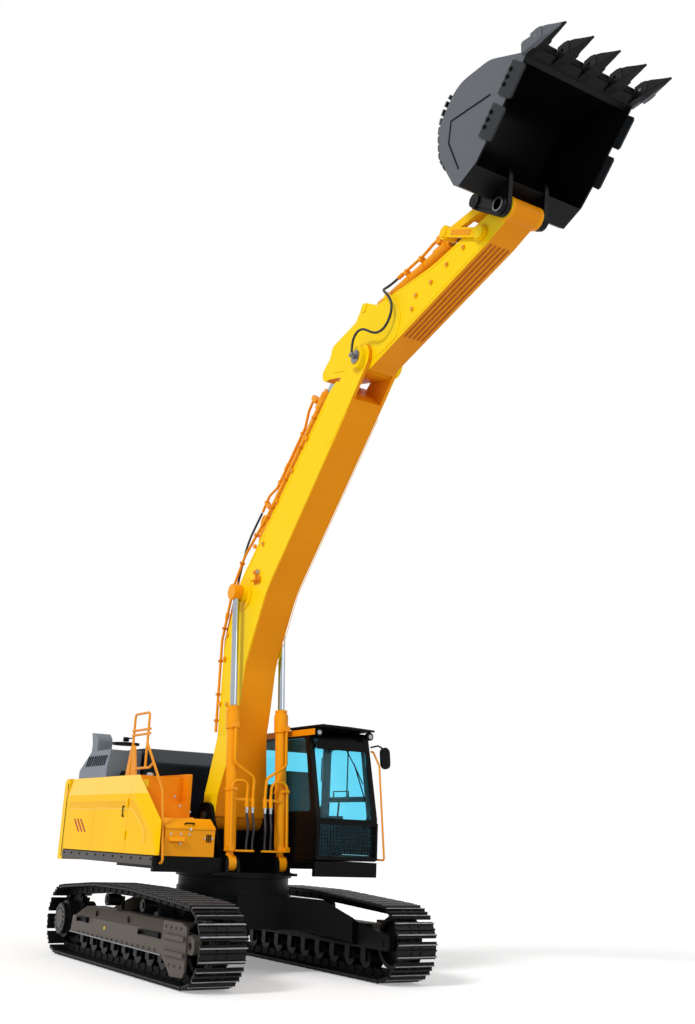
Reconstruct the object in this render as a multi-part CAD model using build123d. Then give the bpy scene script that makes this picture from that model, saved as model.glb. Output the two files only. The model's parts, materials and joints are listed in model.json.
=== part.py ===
from build123d import *
import math
import os

# Crawler excavator. Millimetres, +X forward, +Y to the machine's left, +Z up, ground at Z 0.
# Lengths along X are measured from the swing axis. SWING_X is where that axis stands
# in the finished model, whose origin is under the middle of the whole machine.
SWING_X = -2160

# ---- fits ----
PIN_FIT = 0.05          # radial running clearance of a pin in its bore
SLIDE_GAP = 0.5         # radial clearance of a piston or rod inside a cylinder
SIDE_GAP = 5            # clearance between plates that turn past each other
PANEL_GAP = 6           # gap round a door, lid or panel
TOUCH_GAP = 0.3         # between curved faces that lie against each other

# ---- tracks ----
TRACK_GAUGE = 2710      # between the two track centre lines
SHOE_WIDTH = 600
SHOE_COUNT = 51
PITCH_RADIUS = 375      # chain pin line round the idler and the sprocket
SHOE_OUT = 65           # pin line to the outside of the shoe plate
SHOE_PLATE = 14
GROUSER = 30            # height of a shoe's ribs
RAIL_IN = 45            # pin line to the chain's running surface
RAIL_WIDTH = 45
RAIL_CENTRE = 67        # sideways offset of each chain rail
IDLER_X = 2050
SPROCKET_X = -2290
CARRIER_RADIUS = 85
CARRIERS = [(300, 805), (-950, 805)]     # centres (x, z) of the top rollers
CARRIER_PLAY = 6        # under the chain, whose straight links bridge a top roller
ROLLER_RADIUS = 105
ROLLER_COUNT = 9
ROLLER_SPAN = (-1620, 1480)              # first and last bottom roller
FRAME_BOTTOM = 372      # underside of a track frame
FRAME_SHOULDER = 560    # where its outer wall meets the sloping top
FRAME_TOP = 675
FRAME_IN = -205         # inner and outer side of a track frame, from the track's centre
FRAME_OUT = 215
FRAME_SPAN = (-1760, 1620)
PLATE_THICK = 28        # side plate on a track frame's outer wall
AXLE_Z = GROUSER + SHOE_OUT + PITCH_RADIUS

# ---- slewing ring and car body ----
RING_RADIUS = 760
RING_INNER = 620
RING_BOTTOM = 1040
RING_TOP = 1165
UPPER_BOTTOM = 1172     # lowest face of everything that swings
PLATE_TOP = 1238        # top of the revolving frame's bottom plate

# ---- upper structure ----
DECK_TOP = 1414
SKIRT_BOTTOM = 1293
SIDE_Y = 1495           # side faces of the upper structure
PANEL_THICK = 60
UPPER_REAR = -3050
SKIRT_FRONT = 625
HOUSE_TOP = 2450
TANK_TOP = HOUSE_TOP - 6
RAIL_Y = -1398          # the right handrail's tubes lie in one upright plane
HINGE_RADIUS = 11
HINGE_OUT = 12          # hinge axis outside the panel's face
HINGE_LENGTH = 110
HINGE_HEIGHTS = (1600, 2020)
REAR_SEAM = -2840       # counterweight to engine panel
MID_SEAM = -1650        # engine panel to service door
FRONT_SEAM = -380       # service door to front cover
TAIL_X = -3500          # back of the counterweight
HOOD_HALF = 850
HOOD_TOP = 2900
HOOD_REAR = -2790
HOOD_SHOULDER = -1450   # where the hood's top starts to slope down
HOOD_FRONT = -1000
SHEET = 30              # thickness of hood and lid walls
HOOD_HINGE = (HOOD_REAR - 14, HOUSE_TOP + 16)      # hinge lines (x, z) of the hood and the toolbox lid
LID_HINGE = (22, 1906)
EYE_X = -3230           # lifting eyes on the counterweight
EYE_Y = 900
EYE_BORE = 30
EYE_THICK = 40
EYE_HEIGHT = 75         # bore centre above the counterweight

# ---- cab ----
CAB_IN = 505            # inner and outer side, from the machine's centre line
CAB_OUT = 1493
CAB_FLOOR = 1427
CAB_ROOF = 3150
CAB_REAR = -540
CAB_FRONT = 1310
CAB_WALL = 55
GLASS = 6
DOOR_REAR = -40
DOOR_FRONT = 1215
DOOR_BOTTOM = 1500
DOOR_TOP = 3040

# ---- working arm: pivots (x, z) in the side view ----
BOOM_FOOT = (-150, 1950)
BOOM_KNEE = (262, 5073)         # boom cylinder rod pins
BOOM_TIP = (3210, 7806)         # arm pivot
ARM_TIP = (6173, 8657)          # bucket pivot
BOOM_CYL_FOOT = (595, 1352)
ARM_CYL_FOOT = (450, 6150)
ARM_LUG = (2240, 7925)          # arm cylinder rod pin
BUCKET_CYL_FOOT = (3165, 8585)
ROCKER_PIVOT = (5698, 8558)
ROCKER_END = (5010, 8876)       # bucket cylinder rod pin
BUCKET_LINK = (5723, 8939)      # link pin in the bucket's ears

BOOM_HALF = 250                 # half width over the flange plates
BOOM_SIDE = 222                 # half width over the side plates
BOOM_FOOT_HALF = 390
BOOM_PLATE = 22
TIP_EAR_IN = 205                # inner face of the boom's tip ears
TIP_EAR_OUT = 255
TIP_BOSS_OUT = 330
ARM_HALF = 190
ARM_PLATE = 20
ARM_NOSE_HALF = 232
ROD_SWEEP = 470                 # room the arm cylinder's rod needs round its pin as the arm turns
DOUBLER_THICK = 8               # stiffening plate on each side of the arm's rear
BOOM_CYL_Y = 386
EYE_HALF = 55                   # half width of a cylinder eye
BUCKET_HALF = 810
BUCKET_PLATE = 22
EAR_IN = 245                    # inner face of the bucket's ears
EAR_THICK = 55
EAR_BOSS_OUT = 340              # outer face of the ears' pin bosses
TOOTH_PITCH = 395
ROCKER_IN = 195
ROCKER_THICK = 45
LINK_FORK_IN = 70               # H link: inner and outer face of its upper fork
LINK_FORK_OUT = 185
FOOT_PIN = 60
MAIN_PIN = 50
SMALL_PIN = 45

# Cylinders: radius of barrel, bore, rod, head and eyes, then barrel length and piston place from the foot pin.
CYLINDERS = {
    "boom": (80, 66, 50, 100, 105, 2016, 1800),
    "arm": (100, 84, 58, 118, 105, 2215, 360),
    "bucket": (80, 66, 46, 98, 75, 1690, 262),
}

# ---- oil pipes and hoses ----
PIPE = 20                       # radius of a steel oil pipe
PIPE_BEND = 90
NUT = 29                        # radius of a pipe coupling
HOSE = 17                       # radius of a rubber hose
BOOM_PIPE_Y = 262               # outer pipe along the boom's top edge
SECOND_PIPE_Y = 200
ROD_PIPE_Y = 290                # pipes of a boom cylinder, inboard of its own centre line
BASE_PIPE_Y = 200
DROP_X = 85                     # and forward of it
HOSE_DROP = (715, 165)          # their hoses' upper and lower ends, up the cylinder from its foot pin


# ---------------------------------------------------------------- helpers
def distance(p, q):
    return math.hypot(q[0] - p[0], q[1] - p[1])


def outline(corners):
    """Flat face inside a ring of (across, up) or (across, up, corner radius) points."""
    face = make_face(Polyline(*[corner[:2] for corner in corners], close=True))
    for corner in corners:
        if len(corner) == 3:
            nearest = face.vertices().sort_by_distance((corner[0], corner[1], 0))[0]
            face = fillet(nearest, corner[2])
    return face


def side_slab(face, y_from, y_to):
    """Face drawn in the side view (x, z), given a thickness across the machine."""
    return extrude(Plane.XZ.offset(-y_to) * face, y_to - y_from)


def front_slab(face, x_from, x_to):
    """Face drawn in the front view (y, z), given a thickness along the machine."""
    return extrude(Plane.YZ.offset(x_from) * face, x_to - x_from)


def plan_slab(face, z_from, z_to):
    return extrude(Plane.XY.offset(z_from) * face, z_to - z_from)


def block(x_from, x_to, y_from, y_to, z_from, z_to):
    middle = ((x_from + x_to) / 2, (y_from + y_to) / 2, (z_from + z_to) / 2)
    return Pos(*middle) * Box(x_to - x_from, y_to - y_from, z_to - z_from)


def cross_bar(radius, at, y_from, y_to):
    """Round bar across the machine, at the side-view point (x, z)."""
    bar = Cylinder(radius, y_to - y_from, rotation=(90, 0, 0))
    return Pos(at[0], (y_from + y_to) / 2, at[1]) * bar


def cross_tube(radius, bore, at, y_from, y_to):
    return cross_bar(radius, at, y_from, y_to) - cross_bar(bore, at, y_from - 1, y_to + 1)


def round_bar(radius, start, end):
    """Round bar between two points in space."""
    start, end = Vector(*start), Vector(*end)
    return extrude(Plane(origin=start, z_dir=end - start) * Circle(radius), (end - start).length)


def bent_tube(points, radius, bend):
    """Round tube through points, with arcs of one bend radius."""
    path = FilletPolyline(*points, radius=bend)
    start = Plane(origin=path @ 0, z_dir=path % 0)
    return sweep(start * Circle(radius), path)


def hose_bends(points):
    """Bend radius at each inner point of a hose's route."""
    radii = []
    for before, here, after in zip(points, points[1:], points[2:]):
        arriving, leaving = Vector(*here) - Vector(*before), Vector(*after) - Vector(*here)
        half_turn = math.radians(arriving.get_angle(leaving)) / 2
        radii.append(round(0.45 * min(arriving.length, leaving.length) / math.tan(half_turn)))
    return radii


def hose(name, points, radius=HOSE):
    """Rubber hose along a route of points, its bends as wide as the runs allow."""
    radii = hose_bends(points)
    print(name, "bend radii", radii)
    path = FilletPolyline(*points, radius=radii)
    start = Plane(origin=path @ 0, z_dir=path % 0)
    return sweep(start * Circle(radius), path)


def mirrored(part):
    return mirror(part, Plane.XZ)


def both_sides(part):
    return part + mirrored(part)


def at_side(side, y_near, y_far):
    """Range of Y between two distances from the centre line, on the side +1 or -1."""
    return tuple(sorted((side * y_near, side * y_far)))


def side_line(start, end, half):
    """Side-view bar outline, round at both ends."""
    return make_hull([Pos(*start) * Edge.make_circle(half), Pos(*end) * Edge.make_circle(half)])


def hull_face(circles):
    """Side-view face round a list of (x, z, radius) circles."""
    rings = [Pos(x, z) * Edge.make_circle(radius) for x, z, radius in circles]
    return make_hull(rings)


# ---------------------------------------------------------------- undercarriage
def chain_pins():
    """Pin positions of one chain, with the outward direction at each."""
    circles = [(IDLER_X, AXLE_Z, PITCH_RADIUS), (SPROCKET_X, AXLE_Z, PITCH_RADIUS)]
    circles += [(x, z, CARRIER_RADIUS + RAIL_IN) for x, z in CARRIERS]
    loop = hull_face(circles).face().outer_wire()
    centre = Vector((IDLER_X + SPROCKET_X) / 2, AXLE_Z, 0)
    pins = []
    for index in range(SHOE_COUNT):
        share = index / SHOE_COUNT
        point = loop.position_at(share)
        along = loop.tangent_at(share)
        outward = Vector(along.Y, -along.X, 0)
        if outward.dot(point - centre) < 0:
            outward = outward * -1
        pins.append((point, outward))
    return pins


def shoe_ring(pins):
    """Outer outline of the shoe plates, three ribs on each."""
    ribs = (-0.34, 0.0, 0.34)
    points = []
    for index, (point, outward) in enumerate(pins):
        after, outward_after = pins[(index + 1) % len(pins)]
        along = after - point
        normal = (outward + outward_after).normalized()
        middle = (point + after) * 0.5
        reach = along.length
        step = along.normalized()
        profile = [(-0.49, 0)]
        for rib in ribs:
            profile += [(rib - 0.055, 0), (rib - 0.03, GROUSER), (rib + 0.03, GROUSER), (rib + 0.055, 0)]
        profile += [(0.49, 0)]
        for share, height in profile:
            place = middle + step * (share * reach) + normal * (SHOE_OUT + height)
            points.append((place.X, place.Y))
    return make_face(Polyline(*points, close=True))


def chain_ring(pins, offset):
    """Chain outline at one distance out from the pin line."""
    points = [point + outward * offset for point, outward in pins]
    return make_face(Polyline(*[(p.X, p.Y) for p in points], close=True))


def track(side):
    pins = chain_pins()
    centre = TRACK_GAUGE / 2
    plate_inside = chain_ring(pins, SHOE_OUT - SHOE_PLATE)
    shoes = shoe_ring(pins) - plate_inside
    rails = plate_inside - chain_ring(pins, -RAIL_IN)
    loop = side_slab(shoes, *at_side(side, centre - SHOE_WIDTH / 2, centre + SHOE_WIDTH / 2))
    for offset in (-RAIL_CENTRE, RAIL_CENTRE):
        near = centre + offset - RAIL_WIDTH / 2
        loop += side_slab(rails, *at_side(side, near, near + RAIL_WIDTH))
    return loop


def track_frame(side):
    """Box beam with a sloping top, side plate, idler guard and the travel motor housing."""
    centre = TRACK_GAUGE / 2
    inner = centre + FRAME_IN
    outer = centre + FRAME_OUT
    rear, front = FRAME_SPAN
    section = outline([
        (side * inner, FRAME_BOTTOM), (side * outer, FRAME_BOTTOM), (side * outer, FRAME_SHOULDER),
        (side * (centre + 60), FRAME_TOP), (side * inner, FRAME_TOP),
    ])
    beam = front_slab(section, rear, front)
    plate = outline([(rear - 90, 331), (1338, 305), (1338, FRAME_SHOULDER + 12), (rear - 40, FRAME_SHOULDER - 4, 40)])
    guard = outline([
        (1330, 300), (1450, 235), (1610, 110), (1960, 125, 30), (2000, 190, 30), (2000, 600, 40), (1985, 672, 20),
        (1820, 705, 20), (1330, 700, 20),
    ])
    beam += side_slab(plate, *at_side(side, outer, outer + PLATE_THICK))
    beam += side_slab(guard, *at_side(side, outer, outer + PLATE_THICK))
    for z_at in (335, 515):
        beam += block(1420, 1990, *at_side(side, outer + PLATE_THICK, outer + 66), z_at, z_at + 48)
    beam += block(rear + 20, front - 20, *at_side(side, outer - 40, outer), 330, FRAME_BOTTOM)
    for x_at in (-1130, 10):
        slot = cross_slot(x_at, centre + 130)
        beam -= slot if side > 0 else mirrored(slot)
    fork_rear = front - 40
    fork = outline([
        (fork_rear, FRAME_BOTTOM + 8), (IDLER_X + 110, FRAME_BOTTOM + 8, 60), (IDLER_X + 110, 565, 60), (fork_rear, 640),
    ])
    for near, far in ((FRAME_IN, -115), (115, FRAME_OUT)):
        arm = side_slab(fork, *at_side(side, centre + near, centre + far))
        arm -= cross_bar(45 + PIN_FIT, (IDLER_X, AXLE_Z), *at_side(side, centre + near - 5, centre + far + 5))
        beam += arm
    beam += block(fork_rear - 240, 1820, *at_side(side, centre + 150, outer), 660, 700)
    beam += cross_bar(235, (SPROCKET_X, AXLE_Z), *at_side(side, inner - 20, inner + 100))
    beam += block(SPROCKET_X, rear + 40, *at_side(side, inner - 20, inner + 60), FRAME_BOTTOM, 640)
    beam += block(rear - 60, rear + 40, *at_side(side, inner, inner + 110), FRAME_BOTTOM, 640)
    for x_at, _ in CARRIERS:
        beam += block(x_at - 60, x_at + 60, *at_side(side, centre - 150, centre - 105), 600, 850)
    return beam


def cross_slot(x_at, y_at):
    """Cutter for an oblong hole in the sloping top of the left track frame."""
    slot = Plane.XY.offset(FRAME_SHOULDER - 10) * SlotOverall(250, 60, rotation=20)
    return Pos(x_at, y_at, 0) * extrude(slot, 200)


def sprocket(side):
    """Toothed ring, its hub and the round final drive outside it."""
    centre = TRACK_GAUGE / 2
    teeth = 21
    points = []
    for index in range(teeth):
        for share, radius in ((-0.30, 335), (-0.14, 395), (0.14, 395), (0.30, 335)):
            angle = 2 * math.pi * (index + share) / teeth
            points.append((SPROCKET_X + radius * math.cos(angle), AXLE_Z + radius * math.sin(angle)))
    ring = side_slab(make_face(Polyline(*points, close=True)), *at_side(side, centre - 36, centre + 36))
    axle = (SPROCKET_X, AXLE_Z)
    drive = cross_bar(250, axle, *at_side(side, centre + 30, centre + 190))
    drive += cross_bar(210, axle, *at_side(side, centre + 180, centre + 262))
    drive += cross_bar(120, axle, *at_side(side, centre - 95, centre))
    return ring + drive


def idler(side):
    centre = TRACK_GAUGE / 2
    at = (IDLER_X, AXLE_Z)
    first, second = [point for point, _ in chain_pins()[:2]]
    half_turn = math.asin((second - first).length / 2 / PITCH_RADIUS)
    tread = (PITCH_RADIUS - RAIL_IN) * math.cos(half_turn) - 1.5
    wheel = cross_tube(tread, 265, at, *at_side(side, centre - 95, centre + 95))
    wheel += cross_tube(tread + 35, 265, at, *at_side(side, centre - 36, centre + 36))
    wheel += cross_tube(270, 95, at, *at_side(side, centre - 16, centre + 16))
    wheel += cross_bar(100, at, *at_side(side, centre - 110, centre + 110))
    wheel += cross_bar(45, at, *at_side(side, centre - 195, centre + 195))
    return wheel


def rollers(side):
    """Bottom and top rollers of one track, each with its own shaft ends."""
    centre = TRACK_GAUGE / 2
    roller_z = GROUSER + SHOE_OUT + RAIL_IN + ROLLER_RADIUS + 1
    pitch = (ROLLER_SPAN[1] - ROLLER_SPAN[0]) / (ROLLER_COUNT - 1)
    wheels = Part()
    for index in range(ROLLER_COUNT):
        at = (ROLLER_SPAN[0] + index * pitch, roller_z)
        wheel = cross_bar(ROLLER_RADIUS, at, *at_side(side, centre - 108, centre + 108))
        for near, far in ((-108, -95), (95, 108)):
            wheel += cross_bar(ROLLER_RADIUS + 18, at, *at_side(side, centre + near, centre + far))
        for near, far in ((-150, -110), (110, 150)):
            wheel += block(at[0] - 55, at[0] + 55, *at_side(side, centre + near, centre + far), 205, FRAME_BOTTOM)
        wheel += cross_bar(40, at, *at_side(side, centre - 150, centre + 150))
        wheels += wheel
    for at in CARRIERS:
        wheel = cross_bar(CARRIER_RADIUS - CARRIER_PLAY, at, *at_side(side, centre - 95, centre + 95))
        wheel += cross_bar(40, at, *at_side(side, centre - 105, centre + 110))
        wheels += wheel
    return wheels


def car_body():
    """Round tub on four legs that run out to the track frames."""
    edge = TRACK_GAUGE / 2 + FRAME_IN
    quarter = [(1430, edge), (1430, edge - 90), (780, 330)]
    front = quarter + [(x, -y) for x, y in reversed(quarter)]
    rear = [(-x, y) for x, y in front]
    right = [(820, -edge), (260, -590), (-260, -590), (-820, -edge)]
    plan = front + right + list(reversed(rear)) + [(x, -y) for x, y in reversed(right)]
    view = outline([
        (0, 545), (650, 545), (edge, 400), (edge, 672), (760, 930), (0, 960),
        (-760, 930), (-edge, 672), (-edge, 400), (-650, 545),
    ])
    legs = plan_slab(make_face(Polyline(*plan, close=True)), 300, 1100) & front_slab(view, -1600, 1600)
    tub = Pos(0, 0, (560 + RING_BOTTOM) / 2) * Cylinder(RING_RADIUS + 20, RING_BOTTOM - 560)
    body = legs + tub
    return body - Pos(0, 0, 950) * Cylinder(RING_INNER, 300)


def slewing_ring():
    height = RING_TOP - RING_BOTTOM
    ring = Cylinder(RING_RADIUS, height) - Cylinder(RING_INNER, height + 2)
    return Pos(0, 0, RING_BOTTOM + height / 2) * ring


def track_steps():
    """Two step brackets on each track frame's side plate."""
    steps = Part()
    near = TRACK_GAUGE / 2 + FRAME_OUT + PLATE_THICK
    for side in (1, -1):
        for x_from, x_to in ((-1540, -1160), (665, 1290)):
            step = block(x_from, x_to, *at_side(side, near, near + 45), 545, 558)
            step += block(x_from, x_to, *at_side(side, near, near + 6), 490, 558)
            for x_at in (x_from, x_to - 14):
                step += block(x_at, x_at + 14, *at_side(side, near, near + 45), 490, 558)
            steps += step
    return steps


# ---------------------------------------------------------------- cylinders
def cylinder_plane(foot, pin, y_at):
    """Frame at a cylinder's foot pin: its Z runs along the cylinder, its Y across the machine."""
    along = Vector(pin[0] - foot[0], 0, pin[1] - foot[1])
    across = Vector(0, 1, 0)
    return Plane(origin=(foot[0], y_at, foot[1]), x_dir=across.cross(along), z_dir=along)


def lying(radius, length, z_from):
    return Pos(0, 0, z_from + length / 2) * Cylinder(radius, length)


def cylinder_eye(kind, at_z=0):
    radius = CYLINDERS[kind][4]
    return Pos(0, 0, at_z) * Cylinder(radius, 2 * EYE_HALF, rotation=(90, 0, 0))


def barrel(kind, pin_radius, fittings):
    """Barrel with its foot eye, closed base, head and oil fittings, in the cylinder's own frame."""
    outer, bore, rod, head, _, length, _ = CYLINDERS[kind]
    base = 150
    body = cylinder_eye(kind) + lying(EYE_HALF - 4, base, 20) + lying(outer, length - base, base)
    body += lying(head, 250, length - 250) + lying(head * 0.85, 60, length - 5)
    body += fittings
    body -= lying(bore, length - base - 100, base + 50)
    body -= lying(rod + PIN_FIT, 300, length - 100)
    return body - Cylinder(pin_radius + PIN_FIT, 4 * EYE_HALF, rotation=(90, 0, 0))


def local_block(x_range, y_range, z_range):
    """Block given by its ranges, each in any order."""
    ends = [sorted(pair) for pair in (x_range, y_range, z_range)]
    return block(*ends[0], *ends[1], *ends[2])


def band(kind, z_at, height=35):
    """Clamp band round a barrel."""
    outer = CYLINDERS[kind][0]
    return lying(outer + 11, height, z_at) - lying(outer - 1, height + 2, z_at - 1)


def coupling(at, length):
    """Pipe coupling below a point, along the cylinder."""
    x_at, y_at, z_at = at
    return Pos(x_at, y_at, 0) * lying(NUT, length, z_at - length)


def boom_cylinder(side):
    """Boom cylinder barrel with its two oil pipes, which cross to hang beside it, inboard."""
    head_at, base_at = 1800, 180
    rod_pipe = [(125, -20, head_at), (125, -20, 1290), (125, ROD_PIPE_Y, 1105), (DROP_X, ROD_PIPE_Y, 870),
                (DROP_X, ROD_PIPE_Y, HOSE_DROP[0] + 60)]
    base_pipe = [(112, -45, base_at), (112, -45, 1060), (112, BASE_PIPE_Y, 1060), (DROP_X, BASE_PIPE_Y, 855),
                 (DROP_X, BASE_PIPE_Y, HOSE_DROP[0] + 60)]
    fittings = local_block((70, 150), (-62, 22), (head_at - 30, head_at + 45))
    fittings += local_block((60, 138), (-80, -10), (base_at - 35, base_at + 30))
    fittings += bent_tube(rod_pipe, PIPE, PIPE_BEND) + bent_tube(base_pipe, PIPE, PIPE_BEND)
    for y_at in (ROD_PIPE_Y, BASE_PIPE_Y):
        fittings += coupling((DROP_X, y_at, HOSE_DROP[0] + 120), 120)
    fittings += band("boom", 930) + local_block((70, 82), (20, 60), (930, 965))
    fittings += local_block((80, 140), (-70, 20), (930, 965))
    fittings += local_block((DROP_X - 12, DROP_X), (0, ROD_PIPE_Y + 35), (HOSE_DROP[0] + 85, HOSE_DROP[0] + 120))
    fittings += local_block((60, DROP_X), (0, 60), (HOSE_DROP[0] + 85, HOSE_DROP[0] + 120))
    low = HOSE_DROP[1]
    fittings += local_block((30, DROP_X + HOSE), (20, ROD_PIPE_Y + 25), (low - 24, low))
    if side > 0:
        fittings = mirrored(fittings)
    return cylinder_plane(BOOM_CYL_FOOT, BOOM_KNEE, side * BOOM_CYL_Y) * barrel("boom", MAIN_PIN, fittings)


def arm_cylinder():
    """Arm cylinder barrel with the oil pipe to its rod end."""
    pipe = [(-190, -100, 2050), (-178, -97, 1830), (-92, -86, 1600), (-92, -86, 560), (-205, -86, 340), (-190, -86, 60)]
    fittings = bent_tube(pipe, PIPE, PIPE_BEND) + coupling((-92, -86, 980), 100)
    fittings += local_block((-225, -80), (-125, -40), (2010, 2080))
    for z_at in (640, 1480):
        fittings += band("arm", z_at) + local_block((-118, -60), (-112, -50), (z_at, z_at + 35))
    fittings += local_block((-232, -60), (-108, -30), (200, 240))
    return cylinder_plane(ARM_CYL_FOOT, ARM_LUG, 0) * barrel("arm", MAIN_PIN, fittings)


def bucket_cylinder():
    """Bucket cylinder barrel with the oil pipe to its rod end."""
    pipe = [(-95, -95, 700), (-95, -95, 1250), (-132, -95, 1480), (-132, -95, 1610)]
    fittings = bent_tube(pipe, PIPE, PIPE_BEND) + coupling((-95, -95, 790), 90)
    fittings += local_block((-160, -55), (-120, -30), (1570, 1640))
    for z_at in (850, 1180):
        fittings += band("bucket", z_at) + local_block((-112, -40), (-120, -30), (z_at, z_at + 35))
    return cylinder_plane(BUCKET_CYL_FOOT, ROCKER_END, 0) * barrel("bucket", MAIN_PIN, fittings)


def rod(kind, foot, pin, y_at=0, cap_to=0):
    """Rod with its piston and its solid eye."""
    _, bore, radius, _, eye, _, piston = CYLINDERS[kind]
    length = distance(foot, pin)
    body = lying(radius, length - 40 - piston, piston)
    body += lying(bore - SLIDE_GAP, 70, piston)
    body += cylinder_eye(kind, length)
    if cap_to:
        y_from, y_to = sorted((math.copysign(EYE_HALF, cap_to), cap_to))
        cap = Cylinder(eye + 8, y_to - y_from, rotation=(90, 0, 0))
        body += Pos(0, (y_from + y_to) / 2, length) * cap
    return cylinder_plane(foot, pin, y_at) * body


# ---------------------------------------------------------------- hoses
# Routes of the rubber hoses, in order from the end each one is fed from.
ARM_HOSE = [
    (3215, -400, 7840), (3215, -400, 7960), (3252, -394, 8070), (3335, -380, 8135), (3440, -358, 8120),
    (3545, -332, 8045), (3660, -305, 7990), (3790, -285, 8005), (3900, -275, 8100), (3955, -272, 8235),
    (3920, -270, 8385), (3830, -272, 8500), (3723, -269, 8606), (3675, -173.5, 8688), (3692.6, -124.8, 8736.3),
    (3746.8, -95, 8772.9), (3841.3, -95, 8787.8),
]
BOOM_HOSE = [
    (345, -86, 6315), (215, -100, 6160), (105, -130, 5985), (50, -165, 5790), (30, -190, 5600), (-27, -200, 5428),
    (-67, -200, 5309),
]
# Route of a boom cylinder's hose in the cylinder's own frame: (forward, inboard of its upper end, up from the foot pin)
DROP_ROUTE = [(DROP_X, 0, 715), (DROP_X, 0, 610), (128, 10, 440), (DROP_X, 0, 270), (DROP_X, 0, 165)]


def cylinder_hose(name, side, inboard):
    """Hose that drops from one of a boom cylinder's pipes to the bracket at its foot."""
    place = cylinder_plane(BOOM_CYL_FOOT, BOOM_KNEE, side * BOOM_CYL_Y)
    route = [place.from_local_coords(Vector(x, -side * (inboard + y), z)) for x, y, z in DROP_ROUTE]
    points = [(round(point.X, 3), round(point.Y, 3), round(point.Z, 3)) for point in route]
    print(name, "route", points)
    return hose(name, points)


# ---------------------------------------------------------------- boom
def boom_profile(inset=0):
    """Side view of the boom between its foot and its tip."""
    face = outline([
        (-330, 1900), (60, 1900), (170, 2600, 900), (330, 3400, 900), (430, 4060, 900),
        (930, 5020, 1500), (3225, 7500), (3060, 7950), (2420, 7560, 300),
        (60, 5240, 900), (-290, 4360, 900), (-310, 3300, 900), (-300, 2400),
    ])
    if inset:
        face = offset(face, -inset)
    return face


def boom_front(inset=0):
    """Front view of the boom: wide at the foot, parallel above."""
    wide, narrow = BOOM_FOOT_HALF - inset, BOOM_HALF - inset
    return outline([
        (-wide, 1700), (wide, 1700), (wide, 2250), (narrow, 3050), (narrow, 8200),
        (-narrow, 8200), (-narrow, 3050), (-wide, 2250),
    ])


def arm_clearance(grow=0):
    """Side view of the space between the boom's tip ears that the arm turns in."""
    face = outline([
        (2050, 7790), (2640, 7660), (2930, 7400), (3080, 7230), (3700, 7200), (3700, 8400), (2050, 8400),
    ])
    if grow:
        face = offset(face, grow)
    return face


def boom():
    """Hollow box boom with foot tube, tip ears and brackets."""
    reach = 5000
    skin = side_slab(boom_profile(), -BOOM_FOOT_HALF, BOOM_FOOT_HALF) & front_slab(boom_front(), -reach, reach)
    room = side_slab(boom_profile(BOOM_PLATE), -BOOM_FOOT_HALF, BOOM_FOOT_HALF)
    room &= front_slab(boom_front(BOOM_PLATE), -reach, reach)
    room -= block(-reach, reach, -500, 500, 0, BOOM_FOOT[1] + 400)
    room -= side_slab(arm_clearance(BOOM_PLATE), -500, 500)
    body = skin - room
    body -= side_slab(arm_clearance(), -500, 500)
    for side in (1, -1):
        ear = hull_face([(*BOOM_TIP, 200), (2905, 7480, 215), (2560, 7340, 160), (2450, 6930, 150)])
        body += side_slab(ear, *at_side(side, TIP_EAR_IN, TIP_EAR_OUT))
        body += cross_bar(150, BOOM_TIP, *at_side(side, TIP_EAR_IN, TIP_BOSS_OUT))
        body += cross_bar(130, BOOM_KNEE, *at_side(side, BOOM_SIDE - 30, BOOM_CYL_Y - EYE_HALF - SIDE_GAP))
        bracket = hull_face([(*ARM_CYL_FOOT, 110), (ARM_CYL_FOOT[0] + 60, 5830, 200)])
        body += side_slab(bracket, *at_side(side, EYE_HALF + SIDE_GAP, EYE_HALF + SIDE_GAP + 40))
    body += cross_bar(MAIN_PIN, ARM_CYL_FOOT, -EYE_HALF - 60, EYE_HALF + 60)
    body += cross_bar(175, BOOM_FOOT, -BOOM_FOOT_HALF, BOOM_FOOT_HALF)
    body -= block(-reach, reach, -500, 500, 0, BOOM_FOOT[1]) - cross_bar(175, BOOM_FOOT, -500, 500)
    body -= cross_bar(FOOT_PIN + PIN_FIT, BOOM_FOOT, -500, 500)
    body -= cross_bar(MAIN_PIN + PIN_FIT, BOOM_TIP, -500, 500)
    return body


BOOM_PIPE_ROUTE = [(2265, 7478), (1000, 6240), (220, 5650), (-90, 5240), (-352, 4460), (-352, 3120)]
BOOM_CLAMPS = [(1890, 7040), (1120, 6300), (520, 5735), (-225, 4170), (-285, 3520)]


def boom_pipes():
    """Oil pipes along the boom's top edge, with their clamp bosses, and a shorter inner one at the right."""
    pipes = Part()
    for side in (1, -1):
        run = [(x, side * BOOM_PIPE_Y, z) for x, z in BOOM_PIPE_ROUTE]
        pipe = bent_tube(run, PIPE, PIPE_BEND)
        for start, end in (((1085, 6323), (1022, 6262)), ((-221, 4850), (-250, 4764))):
            pipe += round_bar(NUT, (start[0], side * BOOM_PIPE_Y, start[1]), (end[0], side * BOOM_PIPE_Y, end[1]))
        pipes += pipe
        for at in BOOM_CLAMPS:
            pipes += cross_bar(33, at, *at_side(side, BOOM_HALF, BOOM_HALF + 32))
    inner = [(x, -SECOND_PIPE_Y, z) for x, z in [(-67, 5309)] + BOOM_PIPE_ROUTE[4:]]
    pipes += bent_tube(inner, PIPE, PIPE_BEND)
    return pipes


def boom_lamp():
    """Work lamp on a bracket at the boom's right side, inboard of the cylinder's rod."""
    near, far = -BOOM_HALF, -BOOM_HALF - 72
    lamp = block(545, 745, near - 12, near, 5160, 5250)
    lamp += block(560, 740, far, near, 5195, 5207)
    lamp += block(642, 662, near - 48, near - 26, 5200, 5300)
    return lamp + Pos(655, near - 38, 5325) * Cylinder(34, 74, rotation=(0, 90, 0))


def boom_foot_pin():
    return cross_bar(FOOT_PIN, BOOM_FOOT, -470, 470)


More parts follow.
